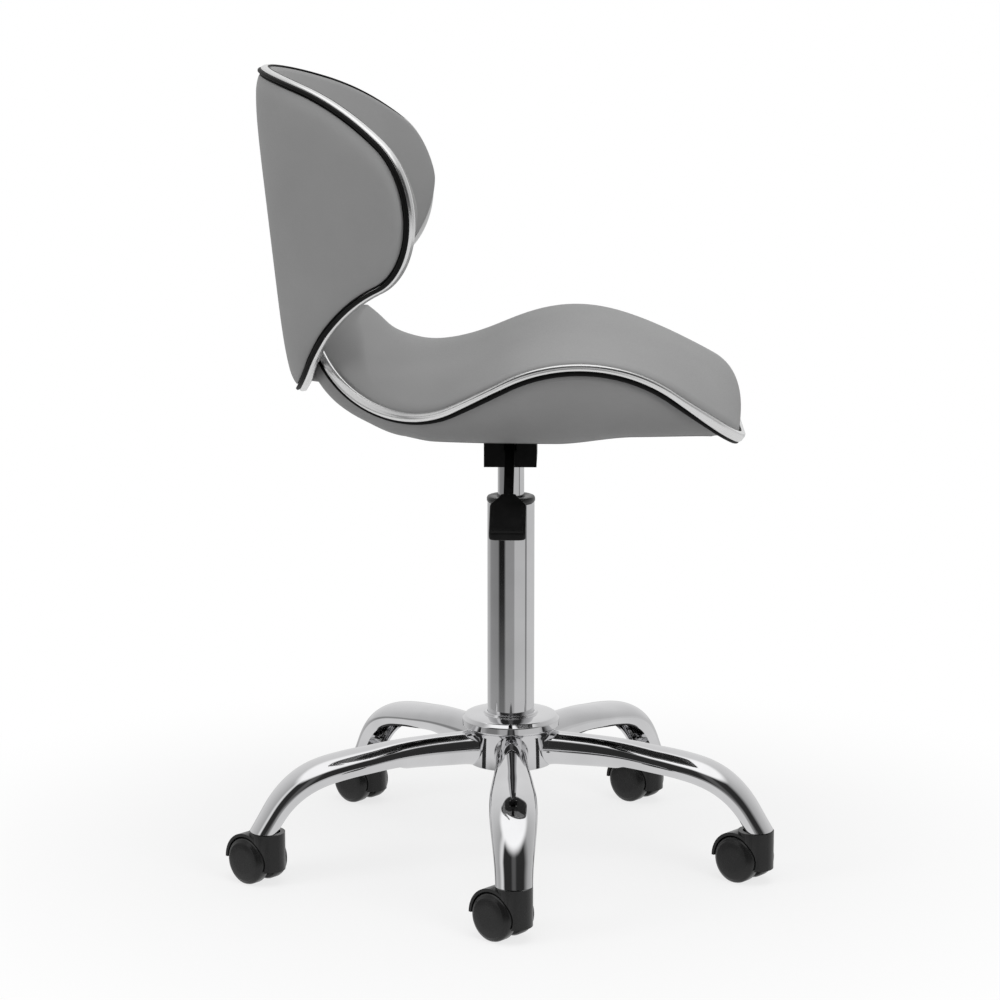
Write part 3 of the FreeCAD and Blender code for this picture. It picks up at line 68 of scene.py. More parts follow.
def settled(mesh, crease):
    """Merge a mesh's doubled points, drop faces without area, turn faces outwards and shade it smooth."""
    work = bmesh.new()
    work.from_mesh(mesh)
    bmesh.ops.remove_doubles(work, verts=work.verts, dist=2e-6)
    bmesh.ops.dissolve_degenerate(work, edges=work.edges, dist=1e-6)
    bmesh.ops.recalc_face_normals(work, faces=work.faces)
    work.to_mesh(mesh)
    work.free()
    mesh.shade_smooth()
    mesh.set_sharp_from_angle(angle=math.radians(crease))


def spun(outline, segments=96):
    """Grid of a turned piece: each (radius, height) of the outline, closed on itself, carried round Z."""
    radius, height = np.array(outline + outline[:1], float).T[:, :, None]
    turn = np.linspace(0, 2 * np.pi, segments, endpoint=False)[None, :]
    return np.stack([radius * np.cos(turn), radius * np.sin(turn), height + 0 * turn], axis=-1)


def softened(piece, width, segments=3, angle=30):
    """Round a piece's sharp edges by a width in millimetres."""
    bevel = piece.modifiers.new("edge rounding", "BEVEL")
    bevel.width = width / 1000
    bevel.segments = segments
    bevel.limit_method = "ANGLE"
    bevel.angle_limit = math.radians(angle)
    bevel.harden_normals = True
    return piece


def finished(piece, material, body, slot, *nodes):
    """Give a piece its material, the body it moves with and the CAD nodes it stands for. The slot is not used."""
    piece.data.materials.append(material)
    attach(piece, body)
    if nodes:
        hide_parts(*nodes)
    return piece


def mottled(name, dark, light, scale, dull, bump=0.0, depth=0.0002, fine=None):
    """A material with its shader: noise of a scale per metre shifts colour between dark and light and
    roughness over the range dull, and a finer noise, if any, raises the surface."""
    material = bpy.data.materials.new(name)
    material.use_nodes = True
    nodes, links = material.node_tree.nodes, material.node_tree.links
    shader = nodes["Principled BSDF"]
    place = nodes.new("ShaderNodeTexCoord")
    cloud = nodes.new("ShaderNodeTexNoise")
    cloud.inputs["Scale"].default_value = scale
    cloud.inputs["Detail"].default_value = 4
    links.new(place.outputs["Object"], cloud.inputs["Vector"])
    tone = nodes.new("ShaderNodeValToRGB")
    tone.color_ramp.elements[0].position = 0.3
    tone.color_ramp.elements[1].position = 0.7
    tone.color_ramp.elements[0].color = (*dark, 1)
    tone.color_ramp.elements[1].color = (*light, 1)
    links.new(cloud.outputs["Fac"], tone.inputs["Fac"])
    links.new(tone.outputs["Color"], shader.inputs["Base Color"])
    gloss = nodes.new("ShaderNodeMapRange")
    gloss.inputs["From Min"].default_value = 0.3
    gloss.inputs["From Max"].default_value = 0.7
    gloss.inputs["To Min"].default_value = dull[0]
    gloss.inputs["To Max"].default_value = dull[1]
    links.new(cloud.outputs["Fac"], gloss.inputs["Value"])
    links.new(gloss.outputs["Result"], shader.inputs["Roughness"])
    if bump:
        grain = nodes.new("ShaderNodeTexNoise")
        grain.inputs["Scale"].default_value = fine
        grain.inputs["Detail"].default_value = 3
        links.new(place.outputs["Object"], grain.inputs["Vector"])
        raise_up = nodes.new("ShaderNodeBump")
        raise_up.inputs["Strength"].default_value = bump
        raise_up.inputs["Distance"].default_value = depth
        links.new(grain.outputs["Fac"], raise_up.inputs["Height"])
        links.new(raise_up.outputs["Normal"], shader.inputs["Normal"])
    return material, shader


chrome, chrome_shader = mottled("chrome plating", (0.70, 0.70, 0.71), (0.78, 0.78, 0.79), 18, (0.03, 0.07))
chrome_shader.inputs["Metallic"].default_value = 1.0

HUB_OUTLINE = [
    (25.05, 111), (38.5, 111), (38.5, 109.5), (45, 109.5), (45, 143), (45.6, 146), (47.4, 148.4), (50.6, 149.6),
    (52.2, 151), (52.2, 158.2), (48.8, 162), (45, 163.2), (29.2, 163.5), (28.5, 166), (25.05, 166),
]
hub = softened(skin("hub", spun(HUB_OUTLINE, 128), ends=False), 0.7)
finished(hub, chrome, "base", "chrome", "base_hub")


# Five arms: round steel tube at the hub, pressed wide and shallow towards the caster so that it is hollow
# underneath, bent down and closed by a foot plate. A weld runs round each root; hub and arms are chromed.
ARM_ANGLES = [1.8 - 90 + 72 * turn for turn in range(5)]
ARM_REACH = 270.7
FOOT_HEIGHT = 57.5


def eased(low, high, share):
    """From low to high with level ends as share goes from 0 to 1."""
    share = np.clip(share, 0, 1)
    return low + (high - low) * share * share * (3 - 2 * share)


def arm_rows(stations=96, points=52):
    """Grid of one arm along +X: an ellipse carried along a level line, a bend and a straight fall, with a shallow
    bell-shaped sag before the bend. An outer skin goes round the ellipse to 130 degrees on both sides. The rest of
    it closes the arm below, or, where the arm is hollow, the skin turns back a wall's thickness inside itself.
    Every line of points ends on the foot's plane, and the root flares into its weld."""
    height, bend, angle = 128.5, 112.0, math.radians(58)
    root, hub_face, foot_lead = 36.5, 45.0, 3.0
    root_width, pressed_width, foot_width = 34.0, 49.0, 38.0
    root_depth, pressed_depth, foot_depth = 36.0, 30.0, 25.0
    widens_at, widens_over, narrows_at, narrows_over = 80.0, 120.0, 215.0, 90.0
    weld_size, weld_fade = 1.4, 3.0
    slot_start, slot_opening, slot_margin, slot_closing = 118.0, 45.0, 12.0, 9.0
    wall, skin_reach = 2.2, math.radians(130)
    sag_depth, sag_centre, sag_spread = 6.5, 186.0, 44.0

    fall = height - FOOT_HEIGHT - bend * (1 - math.cos(angle))
    bend_start = ARM_REACH + foot_lead - bend * math.sin(angle) - fall / math.tan(angle)
    bend_end = bend_start + bend * angle
    tip = bend_end + fall / math.sin(angle)

    spread = np.linspace(-1, 1, points)
    spread = np.concatenate([spread, spread[::-1]])
    is_outer = np.arange(2 * points) < points
    skin_turn, gap_turn = skin_reach * spread, np.pi - (np.pi - skin_reach) * spread

    def section(travel):
        near = (travel - root) / (bend_start - root)
        far = (travel - bend_start) / (tip + 24 - bend_start)
        width = eased(root_width, pressed_width, (travel - widens_at) / widens_over)
        width = width - eased(0, pressed_width - foot_width, (travel - narrows_at) / narrows_over)
        depth = eased(eased(root_depth, pressed_depth, near), foot_depth, far)
        weld = weld_size * np.exp(-np.maximum(travel - hub_face, 0) / weld_fade)
        hollow = eased(0, 1, (travel - slot_start) / slot_opening)
        hollow = hollow * eased(1, 0, (travel - tip + slot_margin) / slot_closing)
        inset = np.where(is_outer, 0, wall * hollow)
        turned_back = np.where(is_outer, 1, hollow)
        out = np.sin(skin_turn) * turned_back + np.sin(gap_turn) * (1 - turned_back)
        up = np.cos(skin_turn) * turned_back + np.cos(gap_turn) * (1 - turned_back)
        return (width / 2 + weld - inset) * out, (depth / 2 + weld - inset) * up

    share = np.linspace(0, 1, stations)[:, None]
    bent = 0.72
    to_bend = root + (bend_end - root) * share / bent
    line_end = tip + section(np.array(tip))[1] * math.cos(angle) / math.sin(angle)
    travel = np.where(share <= bent, to_bend, bend_end + (line_end - bend_end) * (share - bent) / (1 - bent))
    out, up = section(travel)
    turn = np.clip((travel - bend_start) / bend, 0, angle)
    past = np.maximum(travel - bend_end, 0)
    level = np.minimum(travel, bend_start)
    reach = level + bend * np.sin(turn) + past * math.cos(angle) + up * np.sin(turn)
    rise = height - bend * (1 - np.cos(turn)) - past * math.sin(angle) + up * np.cos(turn)
    sag = sag_depth * np.exp(-((reach - sag_centre) / sag_spread) ** 2)
    return np.stack([reach, out, np.maximum(rise - sag, FOOT_HEIGHT)], axis=-1)


def turned_to(rows, angle, place=(0, 0, 0)):
    """A grid turned about Z by degrees, then moved to a place."""
    cosine, sine = math.cos(math.radians(angle)), math.sin(math.radians(angle))
    x, y, z = rows[..., 0], rows[..., 1], rows[..., 2]
    return np.stack([x * cosine - y * sine, x * sine + y * cosine, z], axis=-1) + np.array(place, float)


for number, angle in enumerate(ARM_ANGLES, start=1):
    arm = softened(skin(f"arm_{number}", turned_to(arm_rows(), angle)), 0.8, angle=35)
    finished(arm, chrome, "base", "chrome", f"base_arm_{number}")


# Caster stems and nuts: turned steel, zinc-plated. Each stem is pushed through its arm's foot plate and held by
# a nut in the arm's hollow, and the caster below swivels on it.
def dressed(material, *nodes):
    """Give CAD nodes that stay in view a material."""
    for name in nodes:
        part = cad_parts[name]
        if not part.material_slots:
            part.data.materials.append(material)
        for place in part.material_slots:
            place.material = material


zinc, zinc_shader = mottled(
    "zinc-plated steel", (0.42, 0.42, 0.42), (0.58, 0.58, 0.56), 160, (0.22, 0.42), 0.1, 0.0001, 900)
zinc_shader.inputs["Metallic"].default_value = 1.0
dressed(zinc, "caster_stems", "caster_nuts")


# Casters: black nylon. Each housing is a moulded cup under the arm's foot that runs out into a hood over two
# wheels; the wheels have a domed disc outside and run on a steel axle pressed through the housing.
nylon, nylon_shader = mottled(
    "black nylon", (0.008, 0.008, 0.008), (0.012, 0.012, 0.012), 60, (0.20, 0.30), 0.05, 0.0001, 1400)
nylon_shader.inputs["Specular IOR Level"].default_value = 0.4

CASTER_TURN = 139.3
CASTER_TRAIL = 14.5
WHEEL_RADIUS = 25.0
WHEEL_OUTLINE = [
    (3.05, 14.3), (20, 14.3), (20, 6.5), (23.6, 6.5), (25, 9), (25, 17.2), (24.4, 19.2), (22.6, 20.9),
    (21.2, 21.3), (20.6, 21.9), (19, 22.3), (12, 22.5), (0.01, 22.5), (0.01, 18.8), (3.05, 18.8),
]


def copied(node, name, width, angle=30):
    """A piece with a CAD node's own shape: its triangles merged, flat faces joined and edges rounded."""
    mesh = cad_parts[node].data.copy()
    mesh.name = name
    mesh.materials.clear()
    work = bmesh.new()
    work.from_mesh(mesh)
    bmesh.ops.remove_doubles(work, verts=work.verts, dist=1e-6)
    bmesh.ops.dissolve_limit(work, angle_limit=math.radians(1), verts=work.verts, edges=work.edges)
    work.to_mesh(mesh)
    work.free()
    mesh.shade_smooth()
    mesh.set_sharp_from_angle(angle=math.radians(angle))
    piece = bpy.data.objects.new(name, mesh)
    bpy.context.scene.collection.objects.link(piece)
    return softened(piece, width, angle=angle)


def wheel_rows(side):
    """Grid of a wheel: its outline spun about the axle, which lies along Y, on the near or far side."""
    rows = spun(WHEEL_OUTLINE)
    return np.stack([rows[..., 0] + CASTER_TRAIL, side * rows[..., 2], rows[..., 1] + WHEEL_RADIUS], axis=-1)


for number, angle in enumerate(ARM_ANGLES, start=1):
    foot = (ARM_REACH * math.cos(math.radians(angle)), ARM_REACH * math.sin(math.radians(angle)), 0)
    housing = copied(f"caster_housing_{number}", f"caster_hood_{number}", 0.7)
    finished(housing, nylon, f"caster_{number}", "caster_plastic", f"caster_housing_{number}")
    for side, sign in (("near", 1), ("far", -1)):
        wheel = skin(f"wheel_{side}_{number}", turned_to(wheel_rows(sign), CASTER_TURN, foot), ends=False)
        finished(softened(wheel, 0.5), nylon, f"wheel_{side}_{number}", "caster_plastic",
                 f"caster_wheel_{side}_{number}")
    dressed(zinc, f"caster_axle_{number}")


# Column: a drawn steel tube, chromed and polished, pressed into the hub and rolled in at its upper edge. A plate
# closes it below and holds the gas spring's rod.
COLUMN_OUTLINE = [(23.25, 107), (23.25, 394), (24.2, 394), (25, 393.2), (25, 104), (5, 104), (5, 107)]
column = skin("column", spun(COLUMN_OUTLINE, 160), ends=False)
finished(column, chrome, "base", "chrome", "column_tube")


# Guide bush: turned black plastic, pressed into the tube with a rounded collar resting on its edge. The gas
# cylinder slides and turns in its bore.
bush_plastic, _ = mottled(
    "black bush plastic", (0.010, 0.010, 0.010), (0.019, 0.019, 0.019), 90, (0.22, 0.4), 0.08, 0.0001, 1200)
BUSH_OUTLINE = [
    (14.05, 330), (23.2, 330), (23.2, 394), (25.0, 394), (25.6, 395.2), (25.6, 398), (24.8, 399.5),
    (23.4, 400), (16, 400), (14.4, 399),
]
bush = skin("guide_collar", spun(BUSH_OUTLINE, 128), ends=False)
finished(bush, bush_plastic, "base", "black_plastic", "guide_bush")


# Gas spring: a hard-chromed cylinder that slides in the bush and stands upside down on its rod. Races, balls,
# clip, rod and buffer are plain steel and rubber inside the tube.
rubber, _ = mottled(
    "buffer rubber", (0.012, 0.012, 0.012), (0.028, 0.028, 0.027), 220, (0.6, 0.85), 0.2, 0.0002, 700)
dressed(chrome, "gas_cylinder")
dressed(zinc, "piston_rod", "bearing_lower_race", "bearing_balls", "bearing_upper_race", "retaining_clip",
        "valve_pin")
dressed(rubber, "rubber_buffer")


# Seat mechanism: a flat plate and a folded steel box, welded together with the taper socket inside and
# powder-coated black, screwed up into the seat.
powder, powder_shader = mottled(
    "black powder coat", (0.003, 0.003, 0.003), (0.006, 0.006, 0.006), 120, (0.38, 0.55), 0.25, 0.0002, 1600)
powder_shader.inputs["Specular IOR Level"].default_value = 0.07
for node, name, width in (("seat_plate", "mounting_plate", 0.6), ("mechanism_box", "lever_box", 1.2)):
    finished(copied(node, name, width), powder, "seat", "black_steel", node)
dressed(powder, "taper_socket")
dressed(zinc, "lever_pin", "plate_screws", "tee_nuts")


# Lever: flat steel bar, bent down outside the box and powder-coated, with a moulded paddle pushed on its end. It
# tips on a pin in the box and presses the gas spring's valve.
LEVER_ELBOW = (0.0, -50.0, 462.7)
LEVER_SLOPE = math.radians(24.3)
paddle_plastic, paddle_shader = mottled(
    "black paddle plastic", (0.003, 0.003, 0.003), (0.006, 0.006, 0.006), 70, (0.3, 0.42), 0.1, 0.0001, 1100)
paddle_shader.inputs["Specular IOR Level"].default_value = 0.1


def rounded(share):
    """A quarter circle: from 0, straight up, to 1 with a level end as share goes from 0 to 1."""
    return np.sqrt(1 - (1 - np.clip(share, 0, 1)) ** 2)


def paddle_rows(stations=64, points=64):
    """Grid of the paddle: a rounded rectangle, a superellipse of power 6, carried along the lever's slope. Its
    width widens over the shoulder, and width and thickness close on a quarter circle at each end."""
    start, length, shoulder, power = 94.0, 70.0, 21.0, 6
    neck_width, full_width, neck_thick, full_thick = 16, 37, 10, 11
    neck_round, end_round = 2.0, 4.0
    past = length * (0.5 - 0.5 * np.cos(np.linspace(0, np.pi, stations))[:, None])
    closing = np.minimum(rounded(past / neck_round), rounded((length - past) / end_round))
    width = eased(neck_width, full_width, past / shoulder) / 2 - 4 * (1 - closing)
    thick = eased(neck_thick, full_thick, past / shoulder) / 2 - 3 * (1 - closing)
    turn = np.linspace(0, 2 * np.pi, points, endpoint=False)[None, :]
    cosine, sine = np.cos(turn), np.sin(turn)
    along = start + past
    across = width * np.sign(cosine) * np.abs(cosine) ** (2 / power)
    lift = thick * np.sign(sine) * np.abs(sine) ** (2 / power)
    return np.stack([
        LEVER_ELBOW[0] + across,
        LEVER_ELBOW[1] - along * math.cos(LEVER_SLOPE) - lift * math.sin(LEVER_SLOPE),
        LEVER_ELBOW[2] - along * math.sin(LEVER_SLOPE) + lift * math.cos(LEVER_SLOPE),
    ], axis=-1)


finished(copied("lever_bar", "lever", 0.5), powder, "lever", "black_steel", "lever_bar")
finished(skin("lever_paddle", paddle_rows()), paddle_plastic, "lever", "black_plastic", "lever_handle")


# Wooden core of the seat: bent birch plywood board, a flat base panel and two formers, glued, screwed and
# covered all over.
birch, _ = mottled(
    "birch plywood", (0.42, 0.29, 0.17), (0.60, 0.45, 0.29), 35, (0.5, 0.7), 0.2, 0.0003, 260)
dressed(birch, "seat_base_panel", "seat_formers")


# Seat cushion: moulded foam glued to the board and covered in one tight grey vinyl skin, thick in the hollow and
# at the nose, drawn down all round behind the chrome trim.
VALLEY_X, VALLEY_Z, VALLEY_RADIUS = -105.0, 608.5, 100.0
HUMP_X, HUMP_Z, HUMP_RADIUS = 70.5, 407.7, 160.0
TAIL_ANGLE = math.radians(83.85)
CLIMB = math.radians(28.2977)
FRONT_DROP = math.radians(37)
AT_VALLEY = VALLEY_RADIUS * TAIL_ANGLE
AT_CLIMB = AT_VALLEY + VALLEY_RADIUS * CLIMB
AT_HUMP = AT_CLIMB + math.sqrt(
    (HUMP_X - VALLEY_X) ** 2 + (VALLEY_Z - HUMP_Z) ** 2 - (VALLEY_RADIUS + HUMP_RADIUS) ** 2)
AT_FRONT = AT_HUMP + HUMP_RADIUS * (CLIMB + FRONT_DROP)
SEAT_LENGTH = 526.58
RIM_INSET = 3.5
SEAT_FOAM = [(4.5, 51), (14, 57), (40, 64), (76, 64), (128, 63), (170, 57), (200, 45.5), (230, 34.5), (255, 29.5),
             (330, 32), (400, 28.5), (440, 35), (480, 43.5), (522, 41.5)]


def seat_line(travel):
    """x, z and slope of the seat's middle line: an arc round the valley, a straight climb, an arc over the hump
    and a straight fall at the front, each tangent to the next."""
    valley_turn = np.maximum(travel - AT_VALLEY, -AT_VALLEY) / VALLEY_RADIUS
    hump_turn = np.maximum(CLIMB - (travel - AT_HUMP) / HUMP_RADIUS, -FRONT_DROP)
    before, past = np.minimum(travel, 0), np.maximum(travel - AT_FRONT, 0)
    climbing = travel - AT_CLIMB
    parts = [travel < AT_CLIMB, travel < AT_HUMP]
    x = np.select(parts, [
        VALLEY_X + VALLEY_RADIUS * np.sin(valley_turn) + before * np.cos(valley_turn),
        VALLEY_X + VALLEY_RADIUS * math.sin(CLIMB) + climbing * math.cos(CLIMB),
    ], HUMP_X - HUMP_RADIUS * np.sin(hump_turn) + past * np.cos(hump_turn))
    z = np.select(parts, [
        VALLEY_Z - VALLEY_RADIUS * np.cos(valley_turn) + before * np.sin(valley_turn),
        VALLEY_Z - VALLEY_RADIUS * math.cos(CLIMB) + climbing * math.sin(CLIMB),
    ], HUMP_Z + HUMP_RADIUS * np.cos(hump_turn) + past * np.sin(hump_turn))
    return x, z, np.select(parts, [valley_turn, CLIMB + 0 * travel], hump_turn)


def seat_at(travel, across, lift):
    """Points of the seat: a distance along its middle line, one across it, and one lifted square off it."""
    x, z, slope = seat_line(travel)
    return np.stack([x - lift * np.sin(slope), across + 0 * x, z + lift * np.cos(slope)], axis=-1)


def chained(arcs, spacing=2.5):
    """Points and outward directions along a chain of arcs, each a centre, a radius, negative where hollow, and
    its first and last directions. Gaps between arcs become straight runs."""
    runs = []
    for index, (centre, radius, first, last) in enumerate(arcs):
        turn = np.linspace(first, last, max(int(abs(radius * (last - first)) / spacing), 8))
        runs.append(np.stack([centre[0] + radius * np.cos(turn), centre[1] + radius * np.sin(turn), turn], axis=-1))
        if index + 1 < len(arcs):
            follow_centre, follow_radius, follow_first, _ = arcs[index + 1]
            start = runs[-1][-1, :2]
            end = np.array([follow_centre[0] + follow_radius * math.cos(follow_first),
                            follow_centre[1] + follow_radius * math.sin(follow_first)])
            steps = int(np.hypot(*(end - start)) / spacing)
            if steps > 1:
                share = np.linspace(0, 1, steps + 1)[1:-1, None]
                straight = start + (end - start) * share
                runs.append(np.column_stack([straight, np.full(len(straight), last)]))
            else:
                runs[-1] = runs[-1][:-1]
    return np.concatenate(runs)


def mirrored(half):
    """A closed loop from the half of an outline that starts and ends on the middle line: first number along the
    middle line, second across it, third the outward direction."""
    other = half[::-1] * np.array([1, -1, -1])
    return np.concatenate([half, other[1:-1]])


def tangent(first, first_radius, last, last_radius):
    """Direction square to the line that touches two circles on their outer left side."""
    apart = math.hypot(last[0] - first[0], last[1] - first[1])
    heading = math.atan2(last[1] - first[1], last[0] - first[0])
    return heading + math.pi / 2 + math.asin((last_radius - first_radius) / apart)


TAIL_RADIUS, HIP_RADIUS, CORNER_RADIUS = 60.0, 306.0, 75.0
HIP_ALONG, SEAT_HALF_WIDTH = 327.0, 197.0
CORNER_ALONG = SEAT_LENGTH - CORNER_RADIUS
SEAT_TAIL, SEAT_HIP = (TAIL_RADIUS, 0.0), (HIP_ALONG, SEAT_HALF_WIDTH - HIP_RADIUS)
SEAT_CORNER = (CORNER_ALONG, SEAT_HIP[1] + math.sqrt(
    (HIP_RADIUS - CORNER_RADIUS) ** 2 - (CORNER_ALONG - HIP_ALONG) ** 2))
SEAT_FLANK = tangent(SEAT_TAIL, TAIL_RADIUS, SEAT_HIP, HIP_RADIUS)
SEAT_TURN_IN = math.atan2(SEAT_CORNER[1] - SEAT_HIP[1], SEAT_CORNER[0] - SEAT_HIP[0])

seat_half = chained([
    (SEAT_TAIL, TAIL_RADIUS, math.pi, SEAT_FLANK), (SEAT_HIP, HIP_RADIUS, SEAT_FLANK, SEAT_TURN_IN),
    (SEAT_CORNER, CORNER_RADIUS, SEAT_TURN_IN, 0.0), ((SEAT_LENGTH, 0.0), 0.0, 0.0, 0.0)])
SEAT_RIM = mirrored(seat_half[:np.flatnonzero(seat_half[:, 1] < 1e-6)[1] + 1])


def drawn_in(rim, inset):
    """An outline drawn in square to itself by an inset, one for all points or a column with one for each."""
    return rim - inset * np.column_stack([np.cos(rim[:, 2]), np.sin(rim[:, 2]), 0 * rim[:, 2]])


def ringed(rim, core, rings, power=1.8):
    """Rings of points from an outline in to a core line. A share, raised to the power so that rings lie closer
    together near the outline, runs from 0 at the outline to 1 at the core."""
    share = np.linspace(0, 1, rings)[:, None, None] ** power
    return rim[None, :, :2] * (1 - share) + core[None, :, :] * share


def seat_cushion_rows():
    """Grid of the cushion: rings from the middle out over the crowned top, round the rim and back in along the
    board. The crest is the board's middle line lifted by the foam's height, leaning back at the tail and evened
    out by a running mean. A section is an arc over two sides that roll in on a quarter circle, blunt at the tail,
    and each point stands off the board towards the crest by its share of the section's height."""
    rim = drawn_in(SEAT_RIM, RIM_INSET + 1.0)
    core = np.column_stack([np.clip(rim[:, 0], TAIL_RADIUS, SEAT_LENGTH - 70), 0 * rim[:, 0]])
    points = ringed(rim, core, 64)
    travel = points[..., 0]
    foot = 0.5
    spots = np.linspace(rim[:, 0].min(), rim[:, 0].max(), 500)
    board = seat_at(spots, 0 * spots, foot)
    lean = eased(6, 0, (spots - SEAT_FOAM[0][0]) / 45)
    crest = seat_at(spots - lean, 0 * spots, foot + np.interp(spots, *np.transpose(SEAT_FOAM)))
    window = np.hanning(93)[1:-1]
    mean, margin = window / window.sum(), len(window) // 2
    rise = [np.convolve(np.pad(crest[:, axis], margin, mode="reflect", reflect_type="odd"), mean, "valid")
            - board[:, axis] for axis in (0, 2)]
    forward, upward = [np.interp(travel, spots, part) for part in rise]
    full = np.hypot(forward, upward)
    nose, nose_power, least_crown = 55, 0.6, 8
    past = np.clip((travel - SEAT_LENGTH + RIM_INSET + nose) / nose, 0, 1)
    crown = np.maximum(full * (1 - past ** 2) ** nose_power, least_crown)
    half = rim[:len(rim) // 2 + 1]
    width = np.interp(travel, half[:, 0], half[:, 1])
    least_side, full_crown, steepest, blend = 5, 33, 0.62, 8
    least, steep = least_side * np.minimum(1, crown / full_crown), crown - steepest * width
    side = (least + steep + np.sqrt((least - steep) ** 2 + blend ** 2)) / 2
    side = np.minimum(side, crown - 2)
    sag = crown - side
    sweep = (width ** 2 + sag ** 2) / (2 * sag)
    across = np.minimum(np.abs(points[..., 1]), width)
    arc = np.sqrt(np.maximum(sweep ** 2 - across ** 2, 0)) - (sweep - sag)
    from_rim = np.hypot(*np.moveaxis(points - rim[None, :, :2], -1, 0))
    tuck = eased(7, 4 + 0.5 * side, (travel - 15) / 70)
    share = (side * rounded(from_rim / tuck) + arc) / full
    under = seat_at(travel, points[..., 1], foot)
    top = under + np.stack([forward * share, 0 * share, upward * share], axis=-1)
    return np.concatenate([top[::-1], under[1::4], under[-1:]])


def grained_vinyl(name, dark, light, sheen=0.35, underside_shade=None):
    """Upholstery vinyl: shallow pebbled grain about a millimetre across, soft clouds of tone, and a low sheen that
    is duller where the grain is deep. Where the surface faces straight down, a painted shade colour, if one is
    given, takes over."""
    material = bpy.data.materials.new(name)
    material.use_nodes = True
    nodes, links = material.node_tree.nodes, material.node_tree.links
    shader = nodes["Principled BSDF"]
    place = nodes.new("ShaderNodeTexCoord")
    cloud = nodes.new("ShaderNodeTexNoise")
    cloud.inputs["Scale"].default_value = 9
    cloud.inputs["Detail"].default_value = 5
    links.new(place.outputs["Object"], cloud.inputs["Vector"])
    tone = nodes.new("ShaderNodeValToRGB")
    tone.color_ramp.elements[0].position = 0.25
    tone.color_ramp.elements[1].position = 0.75
    tone.color_ramp.elements[0].color = (*dark, 1)
    tone.color_ramp.elements[1].color = (*light, 1)
    links.new(cloud.outputs["Fac"], tone.inputs["Fac"])
    links.new(tone.outputs["Color"], shader.inputs["Base Color"])
    # Painted shade: faces that point straight down take the given underside colour, near black under the seat.
    if underside_shade:
        facing = nodes.new("ShaderNodeSeparateXYZ")
        links.new(place.outputs["Normal"], facing.inputs["Vector"])
        under = nodes.new("ShaderNodeMapRange")
        under.inputs["From Min"].default_value = -0.95
        under.inputs["From Max"].default_value = -0.97
        links.new(facing.outputs["Z"], under.inputs["Value"])
        cover = nodes.new("ShaderNodeMixRGB")
        cover.inputs["Color2"].default_value = (*underside_shade, 1)
        links.new(under.outputs["Result"], cover.inputs["Fac"])
        links.new(tone.outputs["Color"], cover.inputs["Color1"])
        links.new(cover.outputs["Color"], shader.inputs["Base Color"])
    pebble = nodes.new("ShaderNodeTexVoronoi")
    pebble.feature = "SMOOTH_F1"
    pebble.inputs["Scale"].default_value = 850
    pebble.inputs["Smoothness"].default_value = 0.6
    links.new(place.outputs["Object"], pebble.inputs["Vector"])
    grain = nodes.new("ShaderNodeBump")
    grain.inputs["Strength"].default_value = 0.22
    grain.inputs["Distance"].default_value = 0.0003
    links.new(pebble.outputs["Distance"], grain.inputs["Height"])
    links.new(grain.outputs["Normal"], shader.inputs["Normal"])
    gloss = nodes.new("ShaderNodeMapRange")
    gloss.inputs["From Max"].default_value = 0.8
    gloss.inputs["To Min"].default_value = 0.42
    gloss.inputs["To Max"].default_value = 0.58
    links.new(pebble.outputs["Distance"], gloss.inputs["Value"])
    links.new(gloss.outputs["Result"], shader.inputs["Roughness"])
    shader.inputs["Specular IOR Level"].default_value = sheen
    return material


vinyl = grained_vinyl("grey vinyl", (0.222, 0.222, 0.222), (0.250, 0.250, 0.250))
cushion = skin("seat_pad", seat_cushion_rows(), ends=False, crease=60)
finished(cushion, vinyl, "seat", "grey_vinyl", "seat_cushion")
